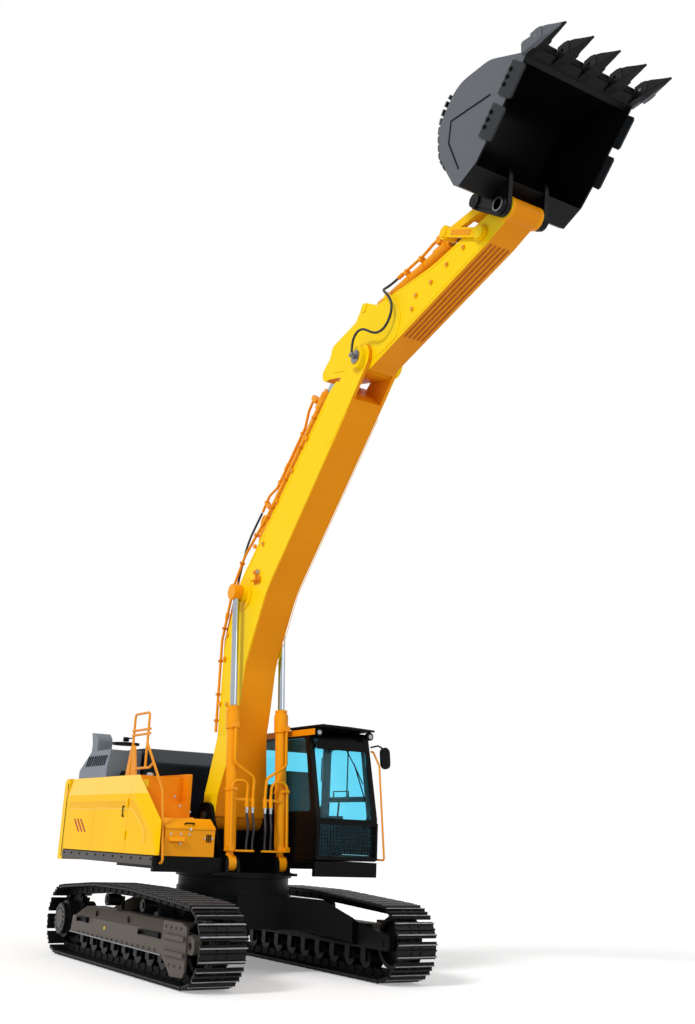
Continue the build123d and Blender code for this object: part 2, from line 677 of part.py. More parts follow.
def arm_pivot_pin():
    pin = cross_bar(MAIN_PIN, BOOM_TIP, -TIP_BOSS_OUT, TIP_BOSS_OUT)
    for side in (1, -1):
        pin += cross_bar(95, BOOM_TIP, *at_side(side, TIP_BOSS_OUT, TIP_BOSS_OUT + 16))
    return pin


# ---------------------------------------------------------------- arm
def arm_profile(inset=0):
    """Side view of the arm from its rear lug to its nose."""
    face = outline([
        (2180, 7810, 60), (2310, 8120, 80), (2370, 8290, 80), (3150, 8495, 900), (4700, 8552, 2500),
        (5870, 8768), (6173, 8797), (6160, 8531), (5820, 8392), (3330, 7615), (3030, 7640, 120), (2330, 7810, 60),
    ])
    if inset:
        face = offset(face, -inset)
    return face


def doubler_face():
    """Stiffening plate at the arm's rear, round at its front."""
    return outline([
        (2420, 7880), (3080, 7700, 120), (3560, 7760, 150), (3960, 7862, 130), (4055, 8120, 200), (3900, 8480, 60),
        (3150, 8440, 200), (2420, 8250, 60),
    ])


def arm():
    """Hollow box arm with a forked rear lug, fin plates for the bucket cylinder, nose tube and rocker bosses."""
    body = side_slab(arm_profile(), -ARM_HALF, ARM_HALF)
    inner = ARM_HALF - ARM_PLATE
    room = side_slab(arm_profile(ARM_PLATE), -inner, inner) & block(3500, 5950, -500, 500, 0, 9999)
    room -= cross_bar(130, ROCKER_PIVOT, -500, 500)
    body -= room
    body += cross_bar(190, BOOM_TIP, -ARM_HALF - 8, ARM_HALF + 8)
    slot = hull_face([(*ARM_LUG, ROD_SWEEP), (2700, 8500, 300)]) - Pos(*BOOM_TIP) * Circle(440)
    body -= side_slab(slot, -EYE_HALF - SIDE_GAP, EYE_HALF + SIDE_GAP)
    for side in (1, -1):
        lug = hull_face([(*ARM_LUG, 115), (2480, 8060, 160)])
        body += side_slab(lug, *at_side(side, EYE_HALF + SIDE_GAP, ARM_HALF))
        fin = hull_face([(*BUCKET_CYL_FOOT, 72), (3000, 8400, 60), (3480, 8440, 60)])
        body += side_slab(fin, *at_side(side, inner, ARM_HALF))
        body += cross_bar(62, BUCKET_CYL_FOOT, *at_side(side, EYE_HALF + SIDE_GAP, ARM_HALF + 14))
        body += side_slab(doubler_face(), *at_side(side, ARM_HALF, ARM_HALF + DOUBLER_THICK))
        outside = ROCKER_IN + ROCKER_THICK
        body += cross_bar(SMALL_PIN, ROCKER_PIVOT, *at_side(side, ARM_HALF - 20, outside + 12))
        body += cross_bar(80, ROCKER_PIVOT, *at_side(side, outside + 2, outside + 14))
    body += cross_bar(MAIN_PIN, BUCKET_CYL_FOOT, -ARM_HALF, ARM_HALF)
    body += cross_bar(140, ARM_TIP, -ARM_NOSE_HALF, ARM_NOSE_HALF)
    body -= cross_bar(MAIN_PIN + PIN_FIT, BOOM_TIP, -500, 500)
    return body - cross_bar(MAIN_PIN + PIN_FIT, ARM_TIP, -500, 500)


def arm_fittings():
    """Swivel fitting on the end of the arm's pivot, which feeds the hose to the bucket cylinder."""
    near = TIP_BOSS_OUT + 17
    z_at = BOOM_TIP[1]
    hose_x, hose_y, hose_z = ARM_HOSE[0]
    swivel = cross_bar(26, BOOM_TIP, hose_y - 26, -near)
    swivel += cross_bar(36, BOOM_TIP, -near - 22, -near)
    return swivel + round_bar(22, (hose_x, hose_y, z_at), (hose_x, hose_y, hose_z))


def bucket_pin():
    pin = cross_bar(MAIN_PIN, ARM_TIP, -EAR_BOSS_OUT, EAR_BOSS_OUT)
    for side in (1, -1):
        pin += cross_bar(85, ARM_TIP, *at_side(side, EAR_BOSS_OUT + 2, EAR_BOSS_OUT + 20))
        pin += cross_bar(MAIN_PIN, ARM_TIP, *at_side(side, EAR_BOSS_OUT - 5, EAR_BOSS_OUT + 20))
    return pin


def rocker_links():
    """Dog-bone link on each side of the arm, with its half of the rod-end pin."""
    links = Part()
    for side in (1, -1):
        y_range = at_side(side, ROCKER_IN, ROCKER_IN + ROCKER_THICK)
        link = side_slab(side_line(ROCKER_PIVOT, ROCKER_END, 60), *y_range)
        link += cross_bar(98, ROCKER_PIVOT, *y_range) + cross_bar(92, ROCKER_END, *y_range)
        link -= cross_bar(SMALL_PIN + PIN_FIT, ROCKER_PIVOT, *at_side(side, ROCKER_IN - 5, ROCKER_IN + 90))
        link += cross_bar(SMALL_PIN, ROCKER_END, *at_side(side, LINK_FORK_IN - 3, ROCKER_IN + 20))
        link += cross_bar(62, ROCKER_END, *at_side(side, ROCKER_IN + ROCKER_THICK, ROCKER_IN + ROCKER_THICK + 14))
        links += link
    return links


def bucket_link():
    """H-shaped link from the rocker pin to the bucket's ears."""
    link = Part()
    for side in (1, -1):
        bar = side_slab(side_line(ROCKER_END, BUCKET_LINK, 58), *at_side(side, LINK_FORK_IN + 45, LINK_FORK_OUT))
        bar += cross_bar(88, ROCKER_END, *at_side(side, LINK_FORK_IN, LINK_FORK_OUT))
        link += bar
    along = (BUCKET_LINK[0] - ROCKER_END[0], BUCKET_LINK[1] - ROCKER_END[1])
    web_from = (ROCKER_END[0] + 0.62 * along[0], ROCKER_END[1] + 0.62 * along[1])
    link += side_slab(side_line(web_from, BUCKET_LINK, 45), -LINK_FORK_OUT, LINK_FORK_OUT)
    link += cross_bar(85, BUCKET_LINK, -EAR_IN + 8, EAR_IN - 8)
    return link - cross_bar(SMALL_PIN + PIN_FIT, ROCKER_END, -LINK_FORK_OUT - 5, LINK_FORK_OUT + 5)


# ---------------------------------------------------------------- bucket
BUCKET_SIDE = [
    (7237, 9865), (6530, 9120, 400), (6343, 8940, 120), (6026, 8804), (5936, 8860),
    (5660, 9360, 500), (5640, 9800, 380), (6000, 10190, 420), (6600, 10170, 500),
]


def bucket_face(inset=0):
    face = outline(BUCKET_SIDE)
    if inset:
        face = offset(face, -inset)
    return face


def bucket_ear(side):
    """Hinge ear with the plate and bosses on its outer face."""
    ear = hull_face([(*ARM_TIP, 125), (*BUCKET_LINK, 100), (6150, 9000, 180)])
    outside = EAR_IN + EAR_THICK
    part = side_slab(ear, *at_side(side, EAR_IN, outside))
    part += side_slab(side_line(ARM_TIP, BUCKET_LINK, 62), *at_side(side, outside, outside + 18))
    part += cross_bar(112, ARM_TIP, *at_side(side, outside, EAR_BOSS_OUT))
    return part + cross_bar(88, BUCKET_LINK, *at_side(side, outside, EAR_BOSS_OUT))


def tooth(y_at):
    """Tooth that thins to its tip in both views."""
    side_view = outline([(7430, 9960), (7600, 9932, 60), (7820, 9872), (7820, 9854), (7430, 9860)])
    plan = [(7430, 46), (7560, 44), (7690, 27), (7820, 9)]
    plan += [(x_at, -half) for x_at, half in reversed(plan)]
    top_view = outline([(x_at, y_at + half) for x_at, half in plan])
    return side_slab(side_view, y_at - 60, y_at + 60) & plan_slab(top_view, 9800, 10000)


def bucket():
    """Welded bucket: wrapper, side plates, lip with five teeth, hinge ears."""
    shell = side_slab(bucket_face(), -BUCKET_HALF, BUCKET_HALF)
    inside = BUCKET_HALF - BUCKET_PLATE
    room = side_slab(bucket_face(BUCKET_PLATE), -inside, inside)
    mouth = make_face(Polyline(
        (7290, 9800), (6560, 9040), (6400, 8880), (6250, 8980), (6480, 9200), (7150, 9880), close=True))
    shell -= room + side_slab(mouth, -inside, inside)
    lip = outline([(7060, 9905), (7300, 9940), (7330, 9890), (7120, 9830)])
    shell += side_slab(lip, -BUCKET_HALF, BUCKET_HALF)
    for index in (-2, -1, 0, 1, 2):
        y_at = index * TOOTH_PITCH
        adapter = outline([(7180, 10000, 30), (7450, 9965), (7450, 9855), (7180, 9850)])
        shell += side_slab(adapter, y_at - 60, y_at + 60) + tooth(y_at)
    shell += bucket_ear(1) + bucket_ear(-1)
    return shell - cross_bar(MAIN_PIN + PIN_FIT, ARM_TIP, -500, 500)


# ---------------------------------------------------------------- upper structure
def upper_frame():
    """Revolving frame: centre beams, boom supports, side decks and skirts."""
    frame = Pos(0, 0, (UPPER_BOTTOM + PLATE_TOP) / 2) * Cylinder(RING_RADIUS + 40, PLATE_TOP - UPPER_BOTTOM)
    frame += block(REAR_SEAM, 720, -600, 600, PLATE_TOP - 35, PLATE_TOP)
    support = outline([
        (REAR_SEAM, PLATE_TOP), (420, PLATE_TOP), (420, 1420, 60), (130, 1900, 150), (0, 2130, 150),
        (-300, 2130, 150), (-420, 1900, 150), (-900, 1500, 200), (REAR_SEAM, 1400),
    ])
    for side in (1, -1):
        plate = side_slab(support, *at_side(side, BOOM_FOOT_HALF + 12, BOOM_FOOT_HALF + 62))
        plate -= cross_bar(FOOT_PIN + PIN_FIT, BOOM_FOOT, -500, 500)
        frame += plate
        for near, far in ((BOOM_CYL_Y - EYE_HALF - 50, BOOM_CYL_Y - EYE_HALF - SIDE_GAP),
                          (BOOM_CYL_Y + EYE_HALF + SIDE_GAP, BOOM_CYL_Y + EYE_HALF + 50)):
            ear = hull_face([(*BOOM_CYL_FOOT, 100), (BOOM_CYL_FOOT[0] - 90, PLATE_TOP + 5, 20), (690, PLATE_TOP + 5, 20)])
            frame += side_slab(ear, *at_side(side, near, far))
        frame += cross_bar(MAIN_PIN, BOOM_CYL_FOOT, *at_side(side, BOOM_CYL_Y - EYE_HALF - 50, BOOM_CYL_Y + EYE_HALF + 50))
        deck_front = SKIRT_FRONT if side < 0 else CAB_FRONT + 10
        frame += block(REAR_SEAM, deck_front, *at_side(side, CAB_IN, SIDE_Y), DECK_TOP - 14, DECK_TOP)
        frame += block(REAR_SEAM, deck_front, *at_side(side, SIDE_Y - 60, SIDE_Y), SKIRT_BOTTOM, DECK_TOP)
        for x_from in (REAR_SEAM, -1700, -700, 260):
            frame += block(x_from, x_from + 130, *at_side(side, 430, SIDE_Y - 20), SKIRT_BOTTOM, DECK_TOP - 5)
        frame += block(deck_front - 60, deck_front, *at_side(side, 505, SIDE_Y), 1225, DECK_TOP)
    return frame


def counterweight():
    """Cast block across the tail, its back a large arc."""
    plan = make_face([
        Line((REAR_SEAM - PANEL_GAP, -SIDE_Y), (REAR_SEAM - PANEL_GAP, SIDE_Y)),
        Line((REAR_SEAM - PANEL_GAP, SIDE_Y), (UPPER_REAR, SIDE_Y)),
        ThreePointArc((UPPER_REAR, SIDE_Y), (TAIL_X, 0), (UPPER_REAR, -SIDE_Y)),
        Line((UPPER_REAR, -SIDE_Y), (REAR_SEAM - PANEL_GAP, -SIDE_Y)),
    ])
    block_part = plan_slab(plan, SKIRT_BOTTOM - 20, HOUSE_TOP)
    edges = block_part.edges().filter_by(GeomType.CIRCLE).group_by(Axis.Z)[-1]
    cast = chamfer(edges, 60)
    eye_at = (EYE_X, HOUSE_TOP + EYE_HEIGHT)
    eye = hull_face([(*eye_at, EYE_BORE + 38), (EYE_X - 70, HOUSE_TOP, 4), (EYE_X + 70, HOUSE_TOP, 4)])
    for side in (1, -1):
        y_from, y_to = side * EYE_Y - EYE_THICK / 2, side * EYE_Y + EYE_THICK / 2
        cast += side_slab(eye, y_from, y_to)
        cast -= cross_bar(EYE_BORE, eye_at, y_from - 1, y_to + 1)
    return cast


def engine():
    return block(-2650, -1750, -560, 560, 1520, 2330)


PANEL_CREASE = HOUSE_TOP - 250      # the panels lean in above this height
PANEL_LEAN = 55


def side_panel(side, x_from, x_to):
    """Flat panel that leans in along its top."""
    section = outline([
        (side * (SIDE_Y - PANEL_THICK), DECK_TOP + 10), (side * SIDE_Y, DECK_TOP + 10),
        (side * SIDE_Y, PANEL_CREASE), (side * (SIDE_Y - PANEL_LEAN), HOUSE_TOP),
        (side * (SIDE_Y - PANEL_THICK), HOUSE_TOP),
    ])
    return front_slab(section, x_from + PANEL_GAP / 2, x_to - PANEL_GAP / 2)


def upright_hinge(x_at, y_at, towards, side):
    """Two hinge knuckles on the edge of a door; towards is +1 where the door lies ahead of the axis."""
    near = y_at - side * HINGE_OUT
    part = Part()
    for z_at in HINGE_HEIGHTS:
        part += round_bar(HINGE_RADIUS, (x_at, y_at, z_at), (x_at, y_at, z_at + HINGE_LENGTH))
        x_range = (x_at, x_at + towards * 60)
        part += local_block(x_range, (near, near + side * HINGE_OUT), (z_at, z_at + HINGE_LENGTH))
    return part


def cross_hinge(x_at, z_at, half, towards, drop):
    """Hinge tube across a lid's rear edge, with a leaf down to the lid."""
    part = Part()
    for side in (1, -1):
        y_range = at_side(side, half - 160, half - 60)
        part += cross_bar(HINGE_RADIUS, (x_at, z_at), *y_range)
        part += local_block((x_at, x_at + towards), y_range, (z_at, z_at - drop))
    return part


def right_engine_panel():
    return side_panel(-1, REAR_SEAM, MID_SEAM)


def right_service_door():
    hinge = upright_hinge(FRONT_SEAM - PANEL_GAP / 2, -SIDE_Y - HINGE_OUT, -1, -1)
    return side_panel(-1, MID_SEAM, FRONT_SEAM) + hinge


def left_engine_door():
    hinge = upright_hinge(MID_SEAM - PANEL_GAP / 2, SIDE_Y + HINGE_OUT, -1, 1)
    return side_panel(1, REAR_SEAM, MID_SEAM) + hinge


def left_service_panel():
    return side_panel(1, MID_SEAM, CAB_REAR - 20)


def right_front_cover():
    """Side cover beside the tank and the steps, its slanting edge leaning in as the panels do."""
    rear = FRONT_SEAM + PANEL_GAP / 2
    low = DECK_TOP + 10
    back = [(rear, low), (660, low), (650, 1845), (-205, HOUSE_TOP), (rear, HOUSE_TOP)]
    face = [(rear, low), (660, low), (520, 1680), (-210, PANEL_CREASE), (rear, PANEL_CREASE)]
    thick = side_slab(make_face(Polyline(*back, close=True)), -SIDE_Y + PANEL_LEAN, -SIDE_Y + PANEL_THICK)
    outer = Plane.XZ.offset(SIDE_Y) * make_face(Polyline(*face, close=True))
    inner = Plane.XZ.offset(SIDE_Y - PANEL_LEAN) * make_face(Polyline(*back, close=True))
    return thick + loft([inner, outer], ruled=True)


def engine_deck():
    """Fixed top covers round the engine hood, and the wall behind the boom."""
    inner = SIDE_Y - PANEL_THICK - 1
    deck = block(REAR_SEAM, -940, -inner, inner, HOUSE_TOP - 40, HOUSE_TOP)
    deck -= block(HOOD_REAR + 60, HOOD_FRONT - 60, -HOOD_HALF + 60, HOOD_HALF - 60, 2000, 2500)
    deck += block(-985, -940, -inner, inner, DECK_TOP, HOUSE_TOP - 40)
    deck -= both_sides(block(-1000, -900, BOOM_FOOT_HALF, BOOM_FOOT_HALF + 75, DECK_TOP - 10, 1530))
    deck += block(-940, CAB_REAR - 20, CAB_IN, inner, HOUSE_TOP - 40, HOUSE_TOP)
    return deck


def engine_hood():
    profile = [
        (HOOD_REAR, HOUSE_TOP + 6), (HOOD_REAR, HOOD_TOP, 90), (HOOD_SHOULDER, HOOD_TOP, 150),
        (HOOD_FRONT, 2670, 60), (HOOD_FRONT, HOUSE_TOP + 6),
    ]
    hood = side_slab(outline(profile), -HOOD_HALF, HOOD_HALF)
    room = side_slab(offset(outline(profile), -SHEET), -HOOD_HALF + SHEET, HOOD_HALF - SHEET)
    room += block(HOOD_REAR + SHEET, HOOD_FRONT - SHEET, -HOOD_HALF + SHEET, HOOD_HALF - SHEET, 2400, HOUSE_TOP + 40)
    return hood - room + cross_hinge(*HOOD_HINGE, HOOD_HALF, 20, -20)


def exhaust():
    """Exhaust box on the deck, its rear edge slanting, with the bent cowl that lets the gas out."""
    side_face = outline([
        (-2650, HOUSE_TOP), (-2650, 2560, 15), (-2300, 2850, 25), (-1510, 2850, 15), (-1510, HOUSE_TOP),
    ])
    box = side_slab(side_face, -1430, -900)
    lean = front_slab(make_face(Polyline((-1432, 2570), (-1432, 2900), (-1380, 2900), close=True)), -2700, -1400)
    cowl = outline([
        (-2315, 2845), (-2300, 2960), (-2365, 3130), (-2200, 3118, 60), (-2080, 3040, 90), (-2075, 2845),
    ])
    return box - lean + side_slab(cowl, -1390, -1160)


def fuel_tank():
    """Tank with a step cut into its front, and the wall that closes its inner side."""
    face = outline([
        (-935, DECK_TOP), (10, DECK_TOP), (10, 2090), (-160, 2090), (-160, TANK_TOP), (-935, TANK_TOP),
    ])
    wall = outline([(-935, DECK_TOP), (10, DECK_TOP), (10, HOUSE_TOP + 36, 20), (-935, HOUSE_TOP + 36)])
    return side_slab(face, -1430, -780) + side_slab(wall, -800, -745)


def toolbox():
    box = block(16, 620, -1360, -640, DECK_TOP + 6, 1750)
    return box - block(28, 608, -1348, -652, DECK_TOP + 18, 1800)


def toolbox_lid():
    profile = outline([(30, 1754), (625, 1754), (625, 1775, 10), (450, 1895, 40), (30, 1895)])
    lid = side_slab(profile, -1365, -635)
    lid -= side_slab(offset(profile, -12), -1353, -647) + block(42, 613, -1353, -647, 1700, 1775)
    return lid + Pos(0, -1000, 0) * cross_hinge(*LID_HINGE, 365, 30, 16)


def handrails():
    """Tube rails: one up the right side with its hoop and the mirror stand, one at the cab's left."""
    radius, bend, y_at = 17, 50, RAIL_Y
    rail = bent_tube([
        (SKIRT_FRONT, y_at, 1330), (705, y_at, 1330), (520, y_at, 2226), (-140, y_at, 2880), (-140, y_at, 3290),
        (-650, y_at, 3290), (-650, y_at, 2700),
    ], radius, bend)
    for z_at in (3000, 3062):
        rail += round_bar(radius, (-690, y_at, z_at), (-70, y_at, z_at))
    rail += bent_tube([(140, y_at, 2600), (0, y_at, 2540), (-500, y_at, 2540), (-500, y_at, TANK_TOP)], radius, bend)
    rail += round_bar(radius, (-145, y_at, 2540), (-145, y_at, 2880))
    stand = outline([(-820, TANK_TOP), (-440, TANK_TOP), (-560, 2860, 15), (-690, 2860, 15)])
    rail += side_slab(stand, y_at - 12, y_at + 12)
    brace = outline([(y_at - 28, TANK_TOP), (y_at + 70, TANK_TOP), (y_at + 12, 2860), (y_at - 12, 2860)])
    rail += front_slab(brace, -660, -640)
    out = CAB_OUT + 38
    cab = bent_tube([
        (1110, CAB_OUT, 2900), (1110, out, 2900), (1275, out, 2700), (1440, out, 1500), (1440, out, 1455),
        (1290, out, 1455), (1290, CAB_OUT, 1455),
    ], 14, 20)
    return rail + cab


def mirrors():
    """Lamp and round mirror on the right stand, oval mirror on an arm at the cab's left."""
    near = -650 - 17
    right = round_bar(9, (near, RAIL_Y, 2965), (-900, RAIL_Y, 2965))
    right += Pos(-935, RAIL_Y, 2960) * Cylinder(42, 60)
    right += round_bar(9, (near, RAIL_Y, 2895), (-740, RAIL_Y, 2895))
    right += Pos(-930, RAIL_Y, 2895) * Cylinder(195, 30)
    left = bent_tube([(1090, 1494, 2960), (1130, 1600, 2990), (1160, 1690, 2940)], 12, 50)
    oval = Plane(origin=(1165, 1685, 2815), x_dir=(0, 1, 0), z_dir=(1, 0, 0.12)) * SlotOverall(300, 150, rotation=90)
    return right + left + extrude(oval, 45)


# ---------------------------------------------------------------- cab
def cab_profile(inset=0):
    face = outline([
        (CAB_REAR, CAB_FLOOR), (CAB_FRONT, CAB_FLOOR, 40), (CAB_FRONT, 1980, 200), (1010, CAB_ROOF, 130),
        (CAB_REAR + 40, CAB_ROOF, 110),
    ])
    if inset:
        face = offset(face, -inset)
    return face


FRONT_WINDOWS = [(1475, 1905), (1965, 3020)]


def cab_windows(inset):
    """Cutters for the fixed windows; a small inset gives the panes' own outlines."""
    y_from, y_to = CAB_IN + 70 + inset, CAB_OUT - 70 - inset
    cutters = []
    for z_from, z_to in FRONT_WINDOWS:
        cutters.append(block(900, 1400, y_from, y_to, z_from + inset, z_to - inset))
    right = outline([
        (CAB_REAR + 90 + inset, 2050 + inset, 60), (1160 - inset, 2050 + inset, 60),
        (935 - inset, 3030 - inset, 60), (CAB_REAR + 90 + inset, 3030 - inset, 60),
    ])
    cutters.append(side_slab(right, CAB_IN - 20, CAB_IN + 120))
    cutters.append(block(CAB_REAR - 20, CAB_REAR + 90, y_from, y_to, 2050 + inset, 3000 - inset))
    quarter = outline([
        (CAB_REAR + 80 + inset, 2150 + inset, 50), (-110 - inset, 2150 + inset, 50),
        (-110 - inset, 3020 - inset, 50), (CAB_REAR + 80 + inset, 3020 - inset, 50),
    ])
    cutters.append(side_slab(quarter, CAB_OUT - 120, CAB_OUT + 20))
    cutters.append(block(150 + inset, 800 - inset, CAB_IN + 170 + inset, CAB_OUT - 170 - inset, 3090, 3200))
    return cutters


def door_face(inset=0):
    face = outline([
        (DOOR_REAR, DOOR_BOTTOM, 50), (DOOR_FRONT, DOOR_BOTTOM, 50), (DOOR_FRONT, 1990, 100),
        (950, DOOR_TOP, 80), (DOOR_REAR, DOOR_TOP, 60),
    ])
    if inset:
        face = offset(face, -inset)
    return face


def cab_shell():
    outer = side_slab(cab_profile(), CAB_IN, CAB_OUT)
    inner = side_slab(cab_profile(CAB_WALL), CAB_IN + CAB_WALL, CAB_OUT - CAB_WALL)
    shell = outer - inner
    for cutter in cab_windows(0):
        shell -= cutter
    return shell - side_slab(door_face(), CAB_OUT - 100, CAB_OUT + 20)


def cab_glass():
    """One pane in each fixed window, set into the middle of the wall."""
    depth = CAB_WALL / 2 - GLASS / 2
    outer = side_slab(cab_profile(depth), CAB_IN + depth, CAB_OUT - depth)
    inner = side_slab(cab_profile(depth + GLASS), CAB_IN + depth + GLASS, CAB_OUT - depth - GLASS)
    skin = outer - inner
    panes = Part()
    for cutter in cab_windows(1):
        panes += skin & cutter
    return panes


def door_window(inset=0):
    face = outline([
        (DOOR_REAR + 85 + inset, 1960 + inset, 60), (1120 - inset, 1960 + inset, 60),
        (900 - inset, 2960 - inset, 60), (DOOR_REAR + 85 + inset, 2960 - inset, 60),
    ])
    return face


def cab_door():
    door = side_slab(door_face(PANEL_GAP), CAB_OUT - 45, CAB_OUT)
    door -= side_slab(door_window(), CAB_OUT - 100, CAB_OUT + 20)
    return door + upright_hinge(DOOR_REAR, CAB_OUT + HINGE_OUT, 1, 1)


def door_glass():
    return side_slab(door_window(1), CAB_OUT - 26, CAB_OUT - 20)


def operator_seat():
    """Cushion and backrest on a pedestal."""
    y_mid = (CAB_IN + CAB_OUT) / 2
    base = block(80, 480, y_mid - 190, y_mid + 190, CAB_FLOOR + CAB_WALL, 1830)
    cushion = block(40, 570, y_mid - 250, y_mid + 250, 1830, 1960)
    back = Pos(40, y_mid, 2270) * Rot(0, -12, 0) * Box(120, 480, 700)
    return base + cushion + back


def control_consoles():
    """Armrest consoles each side of the seat with their levers."""
    y_mid = (CAB_IN + CAB_OUT) / 2
    parts = Part()
    for side in (1, -1):
        y_range = sorted((y_mid + side * 258, y_mid + side * 370))
        console = block(60, 620, *y_range, CAB_FLOOR + CAB_WALL, 2020)
        console += round_bar(14, (560, sum(y_range) / 2, 2010), (590, sum(y_range) / 2, 2220))
        parts += console
    return parts


def front_guard():
    """Frame in front of the cab's lower window, which holds a wire mesh."""
    x_from, x_to = CAB_FRONT + 4, CAB_FRONT + 30
    guard = block(x_from, x_to, CAB_IN + 5, CAB_OUT - 5, CAB_FLOOR + 15, 1925)
    guard -= block(x_from - 5, x_to + 5, CAB_IN + 45, CAB_OUT - 40, CAB_FLOOR + 50, 1885)
    for y_at in (CAB_IN + 60, CAB_OUT - 60):
        for z_at in (1460, 1900):
            guard += block(CAB_FRONT, x_from + 2, y_at - 15, y_at + 15, z_at - 10, z_at + 10)
    return guard


def roof_visor():
    """Thin roof plate that juts out over the windscreen, with two work lamps under it."""
    plan = make_face(Polyline(
        (430, CAB_IN), (1384, CAB_IN), (1330, 1000), (1190, CAB_OUT), (430, CAB_OUT), close=True))
    visor = plan_slab(plan, CAB_ROOF + 16, CAB_ROOF + 42)
    visor += block(430, 900, CAB_IN + 60, CAB_OUT - 60, CAB_ROOF, CAB_ROOF + 16)
    for y_at in (CAB_IN + 70, CAB_OUT - 70):
        x_at = 1150
        visor += Pos(x_at, y_at, CAB_ROOF - 50) * Cylinder(55, 70, rotation=(0, 90, 0))
        visor += block(x_at - 20, x_at + 20, y_at - 15, y_at + 15, CAB_ROOF - 20, CAB_ROOF + 20)
    return visor


# ---------------------------------------------------------------- the whole machine
def pieces():
    """Every piece by name."""
    made = {"car_body": car_body(), "slewing_ring": slewing_ring(), "track_steps": track_steps()}
    made["sprockets"] = sprocket(1) + sprocket(-1)
    made["idlers"] = idler(1) + idler(-1)
    made["rollers"] = rollers(1) + rollers(-1)
    for name, side in (("left", 1), ("right", -1)):
        made[f"{name}_track"] = track(side)
        made[f"{name}_track_frame"] = track_frame(side)
        y_at = side * BOOM_CYL_Y
        cap = side * (EYE_HALF + 30)
        made[f"{name}_boom_cylinder"] = boom_cylinder(side)
        made[f"{name}_boom_rod"] = rod("boom", BOOM_CYL_FOOT, BOOM_KNEE, y_at, cap)
        made[f"{name}_rod_hose"] = cylinder_hose(f"{name}_rod_hose", side, ROD_PIPE_Y)
        made[f"{name}_base_hose"] = cylinder_hose(f"{name}_base_hose", side, BASE_PIPE_Y)
    made["arm_rod"] = rod("arm", ARM_CYL_FOOT, ARM_LUG)
    made["bucket_rod"] = rod("bucket", BUCKET_CYL_FOOT, ROCKER_END)
    made["arm_hose"] = hose("arm_hose", ARM_HOSE)
    made["boom_hose"] = hose("boom_hose", BOOM_HOSE)
    for maker in (
        arm_cylinder, bucket_cylinder, boom, boom_pipes, boom_lamp, boom_foot_pin, arm_pivot_pin,
        arm, arm_fittings, bucket_pin, rocker_links, bucket_link, bucket,
        upper_frame, counterweight, engine, engine_deck, engine_hood, exhaust,
        right_engine_panel, right_service_door, right_front_cover, left_engine_door, left_service_panel,
        fuel_tank, toolbox, toolbox_lid, handrails, mirrors,
        cab_shell, cab_glass, cab_door, door_glass, operator_seat, control_consoles, front_guard, roof_visor,
    ):
        made[maker.__name__] = maker()
    return made


def main():
    os.makedirs("parts", exist_ok=True)
    for name, part in pieces().items():
        export_step(Pos(SWING_X, 0, 0) * part, f"parts/{name}.step")


if __name__ == "__main__":
    main()
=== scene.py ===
# %% [markdown]
# # A crawler excavator, dressed around its CAD frame
# The steel parts come from CAD and never move here. This lesson gives them paint, track shoes,
# bolts, hoses and light. It starts with the frame, because every later piece is placed from it.

# %% Load the fixed frame
import json
import math
import bmesh
import bpy
from mathutils import Matrix, Vector


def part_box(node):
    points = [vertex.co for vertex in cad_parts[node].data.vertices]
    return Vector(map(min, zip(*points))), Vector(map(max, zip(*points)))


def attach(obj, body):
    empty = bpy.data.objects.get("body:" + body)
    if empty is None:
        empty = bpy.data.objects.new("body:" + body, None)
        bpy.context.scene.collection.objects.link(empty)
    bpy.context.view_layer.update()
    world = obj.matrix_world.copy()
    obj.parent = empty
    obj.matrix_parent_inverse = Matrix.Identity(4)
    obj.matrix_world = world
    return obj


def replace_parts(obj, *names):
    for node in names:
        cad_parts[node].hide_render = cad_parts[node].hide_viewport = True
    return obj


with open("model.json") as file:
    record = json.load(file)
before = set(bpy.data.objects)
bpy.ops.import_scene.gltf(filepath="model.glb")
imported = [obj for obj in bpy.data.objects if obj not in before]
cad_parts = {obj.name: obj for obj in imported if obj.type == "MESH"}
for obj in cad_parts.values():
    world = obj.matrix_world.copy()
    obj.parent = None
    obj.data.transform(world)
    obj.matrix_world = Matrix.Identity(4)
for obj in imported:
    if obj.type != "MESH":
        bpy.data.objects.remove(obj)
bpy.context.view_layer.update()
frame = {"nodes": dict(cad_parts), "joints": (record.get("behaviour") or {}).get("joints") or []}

# %% [markdown]
# ## Where things are
# The joints say where the pivots stand, so pieces are placed from them. A point given in
# millimetres from the swing axis, on the ground, is easy to check against a drawing of such a
# machine, and one short function brings it into the frame's metres.

# %% Pivots
pivots = {joint["name"]: Vector(joint["pos_m"]) for joint in frame["joints"] if "pos_m" in joint}
SWING_X = pivots["swing"].x


def at(x, y, z):
    """Point in metres from millimetres forward of the swing axis, to the left, and up."""
    return Vector((SWING_X + x / 1000, y / 1000, z / 1000))


def pivot(name):
    """A pivot in millimetres, in the side view (x, z)."""
    return (pivots[name].x - SWING_X) * 1000, pivots[name].z * 1000


BOOM_TIP = pivot("arm_reach")
ARM_TIP = pivot("bucket_curl")
KNEE = (262, 5073)
print(len(pivots), "pivots; boom tip at", [round(value) for value in BOOM_TIP])

# %% [markdown]
# ## The camera
# A machine this tall is looked up at from the ground. The camera stands at eye height, in front
# and to the right, tilted up, with a lens that keeps the raised arm inside an upright frame.

# %% Camera
EYE = Vector((12.7116, -7.697, 1.677))
YAW, PITCH, ROLL = (math.radians(angle) for angle in (148.072, 18.859, 2.16))
FRAME_SIZE = (695, 1024)
FOCAL, CENTRE = 1125.62, (345.53, 456.85)


